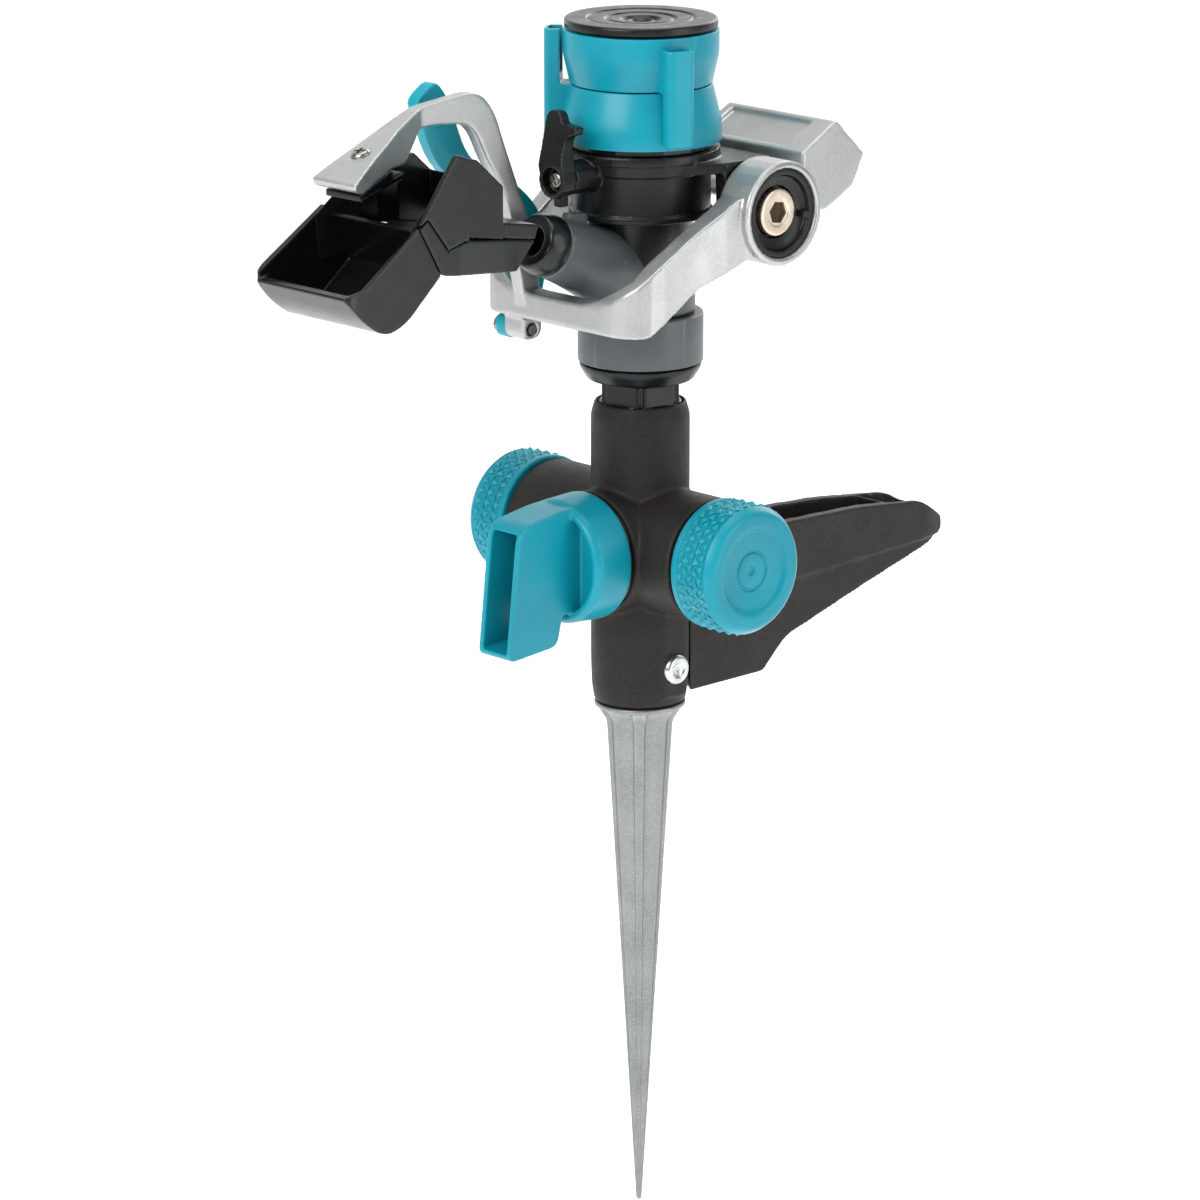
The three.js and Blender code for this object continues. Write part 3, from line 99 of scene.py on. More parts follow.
def add_node(tree, kind, settings=None, **sockets):
    """Add a node. A socket given as another node's output is linked, and any other value is set."""
    made = tree.nodes.new(kind)
    for name, value in (settings or {}).items():
        setattr(made, name, value)
    for name, value in sockets.items():
        socket = made.inputs[int(name[1:])] if name[1:].isdigit() else made.inputs[name.replace("_", " ")]
        if isinstance(value, bpy.types.NodeSocket):
            tree.links.new(value, socket)
        else:
            socket.default_value = value
    return made


def finish(name, colour, shade, *, roughness, spread, grain, grain_height, metallic=0.0, ior=1.5,
           cloud=18.0, fleck=None, edge_wear_and_highlight=None, scratches=0.0, coat=0.0, specular=0.5):
    """A moulded, cast or turned surface.

    colour and shade are mixed by a soft cloud, cloud mm across. grain is the width in mm of the surface
    grain and grain_height its depth. fleck is (colour, mm, share) for crystals or pores in the surface.
    The edge colour and amount lighten sharp edges: partly handling wear, partly a painted highlight along
    them. scratches adds fine marks along Z.
    """
    material = bpy.data.materials.new(name)
    material.use_nodes = True
    tree = material.node_tree
    shader = tree.nodes["Principled BSDF"]
    shader.inputs["Metallic"].default_value = metallic
    shader.inputs["Specular IOR Level"].default_value = specular
    shader.inputs["Coat Weight"].default_value = coat
    if not metallic:
        shader.inputs["IOR"].default_value = ior
    place = add_node(tree, "ShaderNodeTexCoord").outputs["Object"]

    soft = add_node(tree, "ShaderNodeTexNoise", Vector=place, Scale=1 / (cloud * MM),
                    Detail=3.0).outputs["Fac"]
    tint = add_node(tree, "ShaderNodeMapRange", Value=soft, From_Min=0.35, From_Max=0.65).outputs["Result"]
    base = add_node(tree, "ShaderNodeMix", {"data_type": "RGBA"}, _0=tint, _6=linear(colour),
                    _7=linear(shade)).outputs[2]
    fine = add_node(tree, "ShaderNodeTexNoise", Vector=place, Scale=1 / (grain * MM), Detail=2.0,
                    Roughness=0.6).outputs["Fac"]
    height = fine
    if fleck:
        fleck_colour, fleck_mm, share = fleck
        cells = add_node(tree, "ShaderNodeTexVoronoi", Vector=place, Scale=1 / (fleck_mm * MM))
        tone = add_node(tree, "ShaderNodeSeparateColor", Color=cells.outputs["Color"]).outputs["Red"]
        picked = add_node(tree, "ShaderNodeMapRange", Value=tone, From_Min=1 - share,
                          From_Max=1.0).outputs["Result"]
        base = add_node(tree, "ShaderNodeMix", {"data_type": "RGBA"}, _0=picked, _6=base,
                        _7=linear(fleck_colour)).outputs[2]
        height = add_node(tree, "ShaderNodeMath", {"operation": "MULTIPLY_ADD"}, _0=picked, _1=0.5,
                          _2=fine).outputs["Value"]
    # Sharp edges are lightened towards the edge colour: partly handling wear, partly a painted highlight.
    if edge_wear_and_highlight:
        edge_wear_highlight_colour, amount = edge_wear_and_highlight
        edge = add_node(tree, "ShaderNodeNewGeometry").outputs["Pointiness"]
        worn_and_lit_edges = add_node(tree, "ShaderNodeMapRange", Value=edge, From_Min=0.52, From_Max=0.6,
                        To_Max=amount).outputs["Result"]
        patchy = add_node(tree, "ShaderNodeMath", {"operation": "MULTIPLY"}, _0=worn_and_lit_edges,
                          _1=fine).outputs["Value"]
        base = add_node(tree, "ShaderNodeMix", {"data_type": "RGBA"}, _0=patchy, _6=base,
                        _7=linear(edge_wear_highlight_colour)).outputs[2]
    tree.links.new(base, shader.inputs["Base Color"])

    smudge = add_node(tree, "ShaderNodeTexNoise", Vector=place, Scale=1 / (cloud * 0.4 * MM),
                      Detail=4.0).outputs["Fac"]
    rough = add_node(tree, "ShaderNodeMapRange", Value=smudge, From_Min=0.3, From_Max=0.7,
                     To_Min=roughness - spread, To_Max=roughness + spread).outputs["Result"]
    tree.links.new(rough, shader.inputs["Roughness"])

    if scratches:
        long_way = add_node(tree, "ShaderNodeMapping", Vector=place, Scale=(1, 1, 0.04)).outputs["Vector"]
        marks = add_node(tree, "ShaderNodeTexNoise", Vector=long_way, Scale=1 / (0.5 * MM),
                         Detail=3.0).outputs["Fac"]
        height = add_node(tree, "ShaderNodeMath", {"operation": "MULTIPLY_ADD"}, _0=marks, _1=scratches,
                          _2=height).outputs["Value"]
    bump = add_node(tree, "ShaderNodeBump", Height=height, Distance=grain_height * MM, Strength=1.0)
    tree.links.new(bump.outputs["Normal"], shader.inputs["Normal"])
    return material


# Injection-moulded ABS from a fine-sparked mould: a clear, even blue-green with a broad soft highlight.
teal_abs = finish("teal_abs_moulded", "#088fa2", "#068497", roughness=0.32, spread=0.05, grain=0.5,
                  grain_height=0.012, cloud=25, edge_wear_and_highlight=("#46b6c4", 0.5), specular=0.32)
# The range lever is the same ABS from a polished mould, a shade brighter.
teal_abs_bright = finish("teal_abs_polished", "#0799ac", "#058ea1", roughness=0.3, spread=0.05, grain=0.6,
                         grain_height=0.008, cloud=20, edge_wear_and_highlight=("#5ccad4", 0.4), specular=0.36)
# Glass-filled nylon with an eroded grain: a warm dull black that scatters light, with no clear highlight.
grained_nylon = finish("black_nylon_eroded_grain", "#211e1a", "#1b1815", roughness=0.56, spread=0.05,
                       grain=0.3, grain_height=0.03, cloud=16, fleck=("#2a2621", 0.4, 0.25),
                       edge_wear_and_highlight=("#3b362f", 0.5), specular=0.28)
# Acetal from a polished mould: deep black with sharp, bluish reflections and faint flow marks.
gloss_acetal = finish("black_acetal_polished", "#0a0c0d", "#0f1112", roughness=0.22, spread=0.05, grain=0.7,
                      grain_height=0.006, cloud=16, edge_wear_and_highlight=("#2c3033", 0.4), specular=0.42)
# The drum and the small levers are the same acetal with a slightly duller, finely brushed look.
satin_acetal = finish("black_acetal_satin", "#0c0c0c", "#111212", roughness=0.3, spread=0.06, grain=0.5,
                      grain_height=0.01, cloud=12, edge_wear_and_highlight=("#2f3133", 0.4), specular=0.34)
# Grey glass-filled polyamide, lightly sparked: an even cool grey, satin.
grey_polyamide = finish("grey_polyamide_satin", "#464c4f", "#4f5558", roughness=0.38, spread=0.05,
                        grain=0.4, grain_height=0.014, cloud=18, edge_wear_and_highlight=("#868d90", 0.5))
# Zinc die casting, tumbled and lacquered: pale silver with a fine sparkle and soft, cloudy reflections.
cast_zinc = finish("zinc_die_cast_tumbled", "#b4b5b3", "#a8aaa8", roughness=0.4, spread=0.05, grain=0.16,
                   grain_height=0.01, metallic=0.82, cloud=14, fleck=("#c2c6c6", 0.2, 0.3),
                   edge_wear_and_highlight=("#d5d8d8", 0.7))
# The eye's rim is turned after casting: the same zinc, smoother and brighter, with sharper reflections.
turned_zinc = finish("zinc_turned_rim", "#b0b4b3", "#a6aaa9", roughness=0.24, spread=0.04, grain=0.5,
                     grain_height=0.008, metallic=1.0, cloud=12)
# Cast aluminium spike, shot-blasted: mid grey metal with a dry grain and faint draw marks down its length.
blasted_aluminium = finish("aluminium_cast_blasted", "#8b8e8d", "#7f8281", roughness=0.4, spread=0.05,
                           grain=0.2, grain_height=0.012, metallic=0.88, cloud=14,
                           fleck=("#a3a6a5", 0.22, 0.3), scratches=0.5, edge_wear_and_highlight=("#cdd0cf", 0.8))
# Nickel plating over brass on the pivot screws: warm, nearly white and smooth.
warm_nickel = finish("nickel_plate_warm", "#dccfbd", "#cfc0ab", roughness=0.26, spread=0.05, grain=0.4,
                     grain_height=0.01, metallic=0.85, cloud=5)
# The floors of the pivot screws' hexagon sockets: brass under the plating, dull, and darkened as painted
# shade for the depth of the socket.
socket_brass_painted_shade = finish("brass_in_painted_shade", "#4a3a26", "#3a2d1d", roughness=0.5, spread=0.08, grain=0.3,
                    grain_height=0.01, metallic=0.7, cloud=2)
# Stainless screws and pins, cold-headed: bright, with small smears in the polish.
stainless = finish("stainless_cold_headed", "#a8a69f", "#8d8b85", roughness=0.24, spread=0.08, grain=0.4,
                   grain_height=0.01, metallic=1.0, cloud=3)
# The cross pin's heads are zinc-plated and burnished: a little whiter than the screws.
bright_rivet = finish("steel_rivet_zinc_plated", "#cfd1d1", "#bcbfbf", roughness=0.2, spread=0.06,
                      grain=0.4, grain_height=0.012, metallic=0.95, cloud=3)
# Nitrile rubber, moulded: dead black and dusty, almost no highlight.
nitrile = finish("nitrile_rubber", "#141414", "#1b1b1a", roughness=0.72, spread=0.08, grain=0.3,
                 grain_height=0.02, cloud=6)
# Natural acetal for the inner wearing parts: creamy white and slightly waxy.
natural_acetal = finish("acetal_natural", "#d9d7ce", "#cfccc1", roughness=0.42, spread=0.05, grain=0.4,
                        grain_height=0.01, cloud=8)


# ---------------------------------------------------------------- mesh helpers

def rounded_path(points, radius, steps=3, closed=True):
    """A path whose corners are rounded. A point may carry its own radius as a third value."""
    count = len(points)
    out = []
    for i, point in enumerate(points):
        corner = Vector(point[:2])
        own = point[2] if len(point) > 2 else radius
        if own <= 0 or (not closed and i in (0, count - 1)):
            out.append(corner)
            continue
        before = Vector(points[i - 1][:2]) - corner
        after = Vector(points[(i + 1) % count][:2]) - corner
        reach = min(own, before.length * 0.45, after.length * 0.45)
        start = corner + before.normalized() * reach
        end = corner + after.normalized() * reach
        for step in range(steps + 1):
            t = step / steps
            out.append(start * (1 - t) ** 2 + corner * 2 * t * (1 - t) + end * t * t)
    return out


def new_mesh(name, vertices, faces, place=None):
    """A mesh from points in mm, turned and moved by place, with its faces outwards."""
    mesh = bpy.data.meshes.new(name)
    mesh.from_pydata([tuple(v) for v in vertices], [], faces)
    if place is not None:
        mesh.transform(place)
    mesh.transform(Matrix.Scale(MM, 4))
    work = bmesh.new()
    work.from_mesh(mesh)
    bmesh.ops.remove_doubles(work, verts=work.verts, dist=1e-7)
    bmesh.ops.recalc_face_normals(work, faces=work.faces)
    work.to_mesh(mesh)
    work.free()
    return mesh


def lathe(name, profile, place=None, radius=0.35, segments=96):
    """A solid of revolution about Z. profile is a list of (r, z), or (r, z, corner radius), in mm."""
    ends_on_axis = profile[0][0] == 0 and profile[-1][0] == 0
    path = rounded_path(profile, radius, closed=not ends_on_axis)
    vertices, rings = [], []
    for r, z in path:
        if r < 1e-6:
            rings.append([len(vertices)] * segments)
            vertices.append((0, 0, z))
            continue
        rings.append(list(range(len(vertices), len(vertices) + segments)))
        for step in range(segments):
            angle = 2 * math.pi * step / segments
            vertices.append((r * math.cos(angle), r * math.sin(angle), z))
    faces = []
    spans = len(rings) - 1 if ends_on_axis else len(rings)
    for i in range(spans):
        here, there = rings[i], rings[(i + 1) % len(rings)]
        for step in range(segments):
            nxt = (step + 1) % segments
            corners = [here[step], here[nxt], there[nxt], there[step]]
            face = list(dict.fromkeys(corners))
            if len(face) > 2:
                faces.append(face)
    return new_mesh(name, vertices, faces, place)


def prism(name, outline, low, high, place=None, radius=0.0, steps=5):
    """An outline in (x, y), in mm, drawn up from z = low to z = high."""
    path = rounded_path(outline, radius, steps)
    count = len(path)
    vertices = [(x, y, low) for x, y in path] + [(x, y, high) for x, y in path]
    faces = [list(range(count))[::-1], list(range(count, 2 * count))]
    for i in range(count):
        j = (i + 1) % count
        faces.append([i, j, count + j, count + i])
    return new_mesh(name, vertices, faces, place)


def box(name, x, forward, z):
    """A block between two values each of x, forward and z, in mm."""
    outline = [(x[0], -forward[1]), (x[1], -forward[1]), (x[1], -forward[0]), (x[0], -forward[0])]
    return prism(name, outline, z[0], z[1])


def frame_copy(node):
    """The CAD node's mesh with its loose triangles merged."""
    work = bmesh.new()
    work.from_mesh(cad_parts[node].data)
    bmesh.ops.remove_doubles(work, verts=work.verts, dist=1e-6)
    mesh = bpy.data.meshes.new(node + "_copy")
    work.to_mesh(mesh)
    work.free()
    return mesh


# Turns something made about Z so that it lies along another axis.
ALONG_X = Matrix.Rotation(math.pi / 2, 4, "Y")
ALONG_FORWARD = Matrix.Rotation(math.pi / 2, 4, "X")
ALONG_JET = Matrix.Translation(JET_ROOT) @ Matrix.Rotation(math.pi / 2 - JET_TILT, 4, "X")
# Turns a plate whose outline is in (forward, z) so that its thickness lies along X.
SIDE_PLATE = Matrix(((0, 0, 1, 0), (-1, 0, 0, 0), (0, 1, 0, 0), (0, 0, 0, 1)))


def at(x, forward, z):
    return Matrix.Translation(Vector((x, -forward, z)))


def metres(matrix):
    """A placing in mm as one that acts on a mesh already in metres."""
    out = matrix.copy()
    out.translation *= MM
    return out


ALONG_ARM = at(0, 0, FLOW_Z) @ ALONG_X
ALONG_VALVE = at(0, 0, FLOW_Z) @ ALONG_FORWARD


def shown(name, mesh, material, angle=32):
    """A finished object that shades smooth, apart from edges sharper than angle degrees."""
    made = bpy.data.objects.new(name, mesh)
    bpy.context.scene.collection.objects.link(made)
    mesh.name = name
    mesh.materials.clear()
    mesh.materials.append(material)
    mesh.shade_smooth()
    mesh.set_sharp_from_angle(angle=math.radians(angle))
    return made


def merged(meshes):
    """Several meshes as one, each still a closed shell."""
    work = bmesh.new()
    for mesh in meshes:
        work.from_mesh(mesh)
    out = bpy.data.meshes.new("merged")
    work.to_mesh(out)
    work.free()
    return out


def evaluated(made):
    """The object's mesh with its modifiers applied; the object is removed."""
    graph = bpy.context.evaluated_depsgraph_get()
    mesh = bpy.data.meshes.new_from_object(made.evaluated_get(graph))
    bpy.data.objects.remove(made)
    return mesh


def carved(mesh, *tools):
    """The mesh with the tools cut away."""
    body = bpy.data.objects.new("body", mesh)
    bpy.context.scene.collection.objects.link(body)
    cutters = []
    for tool in tools:
        cutter = bpy.data.objects.new("cutter", tool)
        bpy.context.scene.collection.objects.link(cutter)
        cutters.append(cutter)
        step = body.modifiers.new("cut", "BOOLEAN")
        step.operation = "DIFFERENCE"
        step.solver = "EXACT"
        step.object = cutter
    out = evaluated(body)
    for cutter in cutters:
        bpy.data.objects.remove(cutter)
    return out


def moulded(mesh, grid, passes, strength=0.5):
    """The shells fused into one skin on a grid of that many mm, its corners eased by passes of smoothing."""
    body = bpy.data.objects.new("body", mesh)
    bpy.context.scene.collection.objects.link(body)
    skin = body.modifiers.new("skin", "REMESH")
    skin.mode = "VOXEL"
    skin.voxel_size = grid * MM
    skin.use_smooth_shade = True
    ease = body.modifiers.new("ease", "SMOOTH")
    ease.factor = strength
    ease.iterations = passes
    return evaluated(body)


def fit(piece, body, slot, *nodes):
    """The piece stands for these CAD nodes and rides on their body."""
    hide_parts(*nodes)
    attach(piece, body)
    return piece


# ---------------------------------------------------------------- geometry nodes

def new_tree(name, inputs):
    """A geometry tree with named inputs; inputs is a list of (name, socket type, value)."""
    tree = bpy.data.node_groups.new(name, "GeometryNodeTree")
    tree.interface.new_socket("Geometry", in_out="OUTPUT", socket_type="NodeSocketGeometry")
    for label, kind, value in inputs:
        socket = tree.interface.new_socket(label, in_out="INPUT", socket_type=kind)
        if kind != "NodeSocketMaterial":
            socket.default_value = value
    return tree


def grown(name, tree, values, place=None):
    """The tree's result as a plain mesh, with its inputs set by their socket identifiers."""
    holder = bpy.data.objects.new(name, bpy.data.meshes.new(name))
    bpy.context.scene.collection.objects.link(holder)
    growth = holder.modifiers.new("growth", "NODES")
    growth.node_group = tree
    for item in tree.interface.items_tree:
        if item.item_type == "SOCKET" and item.in_out == "INPUT" and item.name in values:
            growth[item.identifier] = values[item.name]
    mesh = evaluated(holder)
    if place is not None:
        mesh.transform(place)
    return mesh


def stud_tree():
    """Rows of small three-sided studs around a drum along Z; every other row points the other way."""
    tree = new_tree("cap_grip_studs", [
        ("Radius", "NodeSocketFloat", 0.0194), ("Start", "NodeSocketFloat", 0.0),
        ("Row Pitch", "NodeSocketFloat", 0.0026), ("Rows", "NodeSocketInt", 5),
        ("Around", "NodeSocketInt", 34), ("Stud Width", "NodeSocketFloat", 0.0015),
        ("Stud Height", "NodeSocketFloat", 0.0006), ("Stagger", "NodeSocketFloat", 0.5),
        ("Plastic", "NodeSocketMaterial", None)])
    given = add_node(tree, "NodeGroupInput").outputs
    total = add_node(tree, "ShaderNodeMath", {"operation": "MULTIPLY"}, _0=given["Rows"],
                     _1=given["Around"]).outputs[0]
    line = add_node(tree, "GeometryNodeMeshLine", Count=total)
    index = add_node(tree, "GeometryNodeInputIndex").outputs[0]
    row = add_node(tree, "ShaderNodeMath", {"operation": "DIVIDE"}, _0=index, _1=given["Around"]).outputs[0]
    row = add_node(tree, "ShaderNodeMath", {"operation": "FLOOR"}, _0=row).outputs[0]
    column = add_node(tree, "ShaderNodeMath", {"operation": "MODULO"}, _0=index,
                      _1=given["Around"]).outputs[0]
    shift = add_node(tree, "ShaderNodeMath", {"operation": "MULTIPLY"}, _0=row,
                     _1=given["Stagger"]).outputs[0]
    place = add_node(tree, "ShaderNodeMath", {"operation": "ADD"}, _0=column, _1=shift).outputs[0]
    turn = add_node(tree, "ShaderNodeMath", {"operation": "DIVIDE"}, _0=place,
                    _1=given["Around"]).outputs[0]
    angle = add_node(tree, "ShaderNodeMath", {"operation": "MULTIPLY"}, _0=turn, _1=2 * math.pi).outputs[0]
    x = add_node(tree, "ShaderNodeMath", {"operation": "COSINE"}, _0=angle).outputs[0]
    y = add_node(tree, "ShaderNodeMath", {"operation": "SINE"}, _0=angle).outputs[0]
    along = add_node(tree, "ShaderNodeMath", {"operation": "MULTIPLY_ADD"}, _0=row, _1=given["Row Pitch"],
                     _2=given["Start"]).outputs[0]
    outward = add_node(tree, "ShaderNodeCombineXYZ", X=x, Y=y).outputs[0]
    ring = add_node(tree, "ShaderNodeVectorMath", {"operation": "SCALE"}, _0=outward,
                    Scale=given["Radius"]).outputs[0]
    lift = add_node(tree, "ShaderNodeCombineXYZ", Z=along).outputs[0]
    spot = add_node(tree, "ShaderNodeVectorMath", {"operation": "ADD"}, _0=ring, _1=lift).outputs[0]
    set_out = add_node(tree, "GeometryNodeSetPosition", Geometry=line.outputs["Mesh"], Position=spot)
    stud = add_node(tree, "GeometryNodeMeshCone", {"fill_type": "NGON"}, Vertices=3, Radius_Top=0.0,
                    Radius_Bottom=given["Stud Width"], Depth=given["Stud Height"])
    aim = add_node(tree, "FunctionNodeAlignEulerToVector", {"axis": "Z"}, Vector=outward).outputs[0]
    flip = add_node(tree, "ShaderNodeMath", {"operation": "MODULO"}, _0=row, _1=2.0).outputs[0]
    spin = add_node(tree, "ShaderNodeMath", {"operation": "MULTIPLY"}, _0=flip, _1=math.pi).outputs[0]
    spin_vector = add_node(tree, "ShaderNodeCombineXYZ", Z=spin).outputs[0]
    turned = add_node(tree, "FunctionNodeRotateEuler", {"space": "LOCAL"}, Rotation=aim,
                      Rotate_By=spin_vector).outputs[0]
    laid = add_node(tree, "GeometryNodeInstanceOnPoints", Points=set_out.outputs[0],
                    Instance=stud.outputs["Mesh"], Rotation=turned)
    real = add_node(tree, "GeometryNodeRealizeInstances", Geometry=laid.outputs[0])
    dressed = add_node(tree, "GeometryNodeSetMaterial", Geometry=real.outputs[0], Material=given["Plastic"])
    add_node(tree, "NodeGroupOutput", Geometry=dressed.outputs[0])
    return tree


# ---------------------------------------------------------------- end caps

cap_studs = stud_tree()


def end_cap(side):
    """A screw cap with a rim, a studded grip and a dished face with a centre ring."""
    inner = CAP_INNER[side]
    outer = inner + CAP_LENGTH
    skin = CAP_R - 0.7
    shell = lathe("shell", [(15, inner), (skin, inner), (CAP_R - 0.1, inner + 0.5),
                            (CAP_R - 0.1, inner + 2.2), (skin, inner + 2.6), (skin, outer - 3.2),
                            (CAP_R - 0.3, outer - 2.8, 0.8), (CAP_R - 2.2, outer, 1.2), (13.6, outer, 0.8),
                            (12.2, outer - 1.5, 0.8), (6.5, outer - 1.7), (6.2, outer - 2.2, 0.15),
                            (5.6, outer - 2.2, 0.15), (5.3, outer - 1.7), (1.5, outer - 1.7),
                            (1.0, outer - 2.4), (0, outer - 2.4), (0, outer - 4), (15, outer - 4)],
                  radius=0.25, segments=128)
    studs = grown("studs", cap_studs, {
        "Radius": (skin + 0.2) * MM, "Start": (inner + 3.7) * MM, "Row Pitch": 2.1 * MM, "Rows": 5,
        "Around": 36, "Stud Width": 1.45 * MM, "Stud Height": 0.95 * MM, "Plastic": teal_abs})
    mesh = merged([shell, studs])
    mesh.transform(ALONG_X)
    if side == "left":
        mesh.transform(Matrix.Rotation(math.pi, 4, "Z"))
    mesh.transform(at(0, 0, FLOW_Z * MM))
    piece = shown("cap_with_grip_" + side, mesh, teal_abs, angle=25)
    fit(piece, side + "_cap", "teal_plastic", "end_cap_" + side)


for cap_side in ("right", "left"):
    end_cap(cap_side)


# ---------------------------------------------------------------- tap body and spike

def tap_body():
    """The column, both arms, the rounded back and the flat pads at the foot, as one moulding."""
    column = lathe("column", [(0, 2), (BODY_R - 1.1, 2), (BODY_R - 0.3, 6.5, 2), (BODY_R, 16, 2),
                              (BODY_R, BODY_TOP - 4.4, 1), (BODY_R - 1.3, BODY_TOP, 0.5),
                              (13.1, BODY_TOP, 0.4), (13.1, 84), (0, 84)], segments=96)
    flow_arm = lathe("flow_arm", [(0, -LEFT_ARM), (ARM_R, -LEFT_ARM, 0.5), (ARM_R, RIGHT_ARM, 0.5),
                                  (0, RIGHT_ARM)], ALONG_ARM)
    valve_arm = lathe("valve_arm", [(0, 0), (ARM_R, 0), (ARM_R, 20, 0.5), (0, 20)], ALONG_VALVE)
    ball = ARM_R - 0.2
    angles = [math.radians(a) for a in range(-80, 90, 10)]
    crown = [(0, -ball), *((ball * math.cos(a), ball * math.sin(a), 0) for a in angles), (0, ball)]
    rear_crown = lathe("rear_crown", crown, at(0, 0, FLOW_Z), radius=0)
    pads = box("pads", (-15.7, 15.7), (-5, 5), (5.1, 43.4))
    return moulded(merged([column, flow_arm, valve_arm, rear_crown, pads]), 0.62, 5)


fit(shown("tap_body_moulding", tap_body(), grained_nylon, 60), "base", "grained_black", "tap_body")
fit(shown("pedal_moulding", moulded(frame_copy("foot_pedal"), 0.5, 2), grained_nylon, 60),
    "base", "grained_black", "foot_pedal")


# ---------------------------------------------------------------- valve

valve_rim = lathe("rim", [(16.5, 21.9), (19.1, 21.9, 0.3), (19.65, 22.8, 0.3), (19.65, 24.3, 0.4),
                          (19.15, 34.2, 1.0), (17.8, 35.75, 0.8), (16.4, 35.75, 0.3), (16.4, 31.6)],
                  ALONG_VALVE, segments=128)
valve_mesh = merged([valve_rim, moulded(frame_copy("valve_knob"), 0.34, 8)])
fit(shown("valve_handle", valve_mesh, teal_abs, 50), "valve", "teal_plastic", "valve_knob")
valve_cover = lathe("cover", [(4.9, 20.3), (18.5, 20.3, 0.3), (18.5, 21.5, 0.3), (4.9, 21.5)],
                    ALONG_VALVE, segments=128)
fit(shown("valve_cover_plate", valve_cover, satin_acetal), "base", "gloss_black", "valve_bonnet")
for gasket_side, gasket_x in (("right", (32.1, 33.2)), ("left", (-41.0, -39.9))):
    near, far = gasket_x
    gasket = lathe("gasket", [(13.6, near), (18.4, near, 0.3), (18.4, far, 0.3), (13.6, far)],
                   ALONG_ARM, segments=128)
    fit(shown("cap_gasket_" + gasket_side, gasket, nitrile), "base", "rubber", "arm_gasket_" + gasket_side)


# ---------------------------------------------------------------- spike and its pin

def spike_tree():
    """A tapered blade below z = 0 with four rails on its diagonals and a flare at its root."""
    tree = new_tree("spike_blade", [
        ("Length", "NodeSocketFloat", 0.16), ("Root Radius", "NodeSocketFloat", 0.0105),
        ("Tip Radius", "NodeSocketFloat", 0.0008), ("Core", "NodeSocketFloat", 0.87),
        ("Flare", "NodeSocketFloat", 0.0022), ("Metal", "NodeSocketMaterial", None)])
    given = add_node(tree, "NodeGroupInput").outputs
    rod = add_node(tree, "GeometryNodeMeshCylinder", {"fill_type": "TRIANGLE_FAN"}, Vertices=144,
                   Side_Segments=110, Radius=1.0, Depth=1.0).outputs["Mesh"]
    x, y, z = add_node(tree, "ShaderNodeSeparateXYZ",
                       Vector=add_node(tree, "GeometryNodeInputPosition").outputs[0]).outputs
    angle = add_node(tree, "ShaderNodeMath", {"operation": "ARCTAN2"}, _0=y, _1=x).outputs[0]
    four = add_node(tree, "ShaderNodeMath", {"operation": "MULTIPLY"}, _0=angle, _1=4.0).outputs[0]
    wave = add_node(tree, "ShaderNodeMath", {"operation": "COSINE"}, _0=four).outputs[0]
    section = add_node(tree, "ShaderNodeMapRange", {"interpolation_type": "SMOOTHSTEP"}, Value=wave,
                       From_Min=-0.62, From_Max=-0.86, To_Min=given["Core"], To_Max=1.0).outputs[0]
    taper = add_node(tree, "ShaderNodeMapRange", Value=z, From_Min=-0.5, From_Max=0.5,
                     To_Min=given["Tip Radius"], To_Max=given["Root Radius"]).outputs[0]
    flare = add_node(tree, "ShaderNodeMapRange", {"interpolation_type": "SMOOTHSTEP"}, Value=z,
                     From_Min=0.465, From_Max=0.5, To_Max=given["Flare"]).outputs[0]
    reach = add_node(tree, "ShaderNodeMath", {"operation": "MULTIPLY_ADD"}, _0=taper, _1=section,
                     _2=flare).outputs[0]
    new_x = add_node(tree, "ShaderNodeMath", {"operation": "MULTIPLY"}, _0=x, _1=reach).outputs[0]
    new_y = add_node(tree, "ShaderNodeMath", {"operation": "MULTIPLY"}, _0=y, _1=reach).outputs[0]
    depth = add_node(tree, "ShaderNodeMath", {"operation": "SUBTRACT"}, _0=z, _1=0.5).outputs[0]
    new_z = add_node(tree, "ShaderNodeMath", {"operation": "MULTIPLY"}, _0=depth,
                     _1=given["Length"]).outputs[0]
    spot = add_node(tree, "ShaderNodeCombineXYZ", X=new_x, Y=new_y, Z=new_z).outputs[0]
    blade = add_node(tree, "GeometryNodeSetPosition", Geometry=rod, Position=spot).outputs[0]
    real = add_node(tree, "GeometryNodeRealizeInstances", Geometry=blade).outputs[0]
    dressed = add_node(tree, "GeometryNodeSetMaterial", Geometry=real, Material=given["Metal"])
    add_node(tree, "NodeGroupOutput", Geometry=dressed.outputs[0])
    return tree


spike_blade = grown("blade", spike_tree(), {
    "Length": (SPIKE_LENGTH - 0.1) * MM, "Root Radius": 10.5 * MM, "Tip Radius": 0.8 * MM, "Core": 0.87,
    "Flare": 2.4 * MM, "Metal": blasted_aluminium})
spike_flange = lathe("flange", [(0, -0.4), (12.4, -0.4, 0.3), (14.1, 0.2, 0.4), (14.1, 1.5, 0.4), (13, 1.7),
                                (0, 1.7)])
fit(shown("spike_casting", merged([spike_blade, spike_flange]), blasted_aluminium, 40), "base",
    "cast_aluminium", "ground_spike")

pin_heads = []
for pin_turn in (0, math.pi):
    pin_head = lathe("pin_head", [(0, 14), (4.7, 14), (4.75, 16.4, 0.4), (4.1, 17.4, 0.6),
                                  (2.6, 17.45, 0.3), (1.9, 16.9, 0.3), (0.8, 16.8), (0.5, 16.5), (0, 16.5)],
                     at(0, 0, PIN_Z) @ Matrix.Rotation(pin_turn, 4, "Z") @ ALONG_X, segments=64,
                     radius=0.15)
    pin_heads.append(pin_head)
fit(shown("cross_pin_heads", merged(pin_heads), bright_rivet), "base", "stainless", "cross_pin")


# ---------------------------------------------------------------- swivel and head

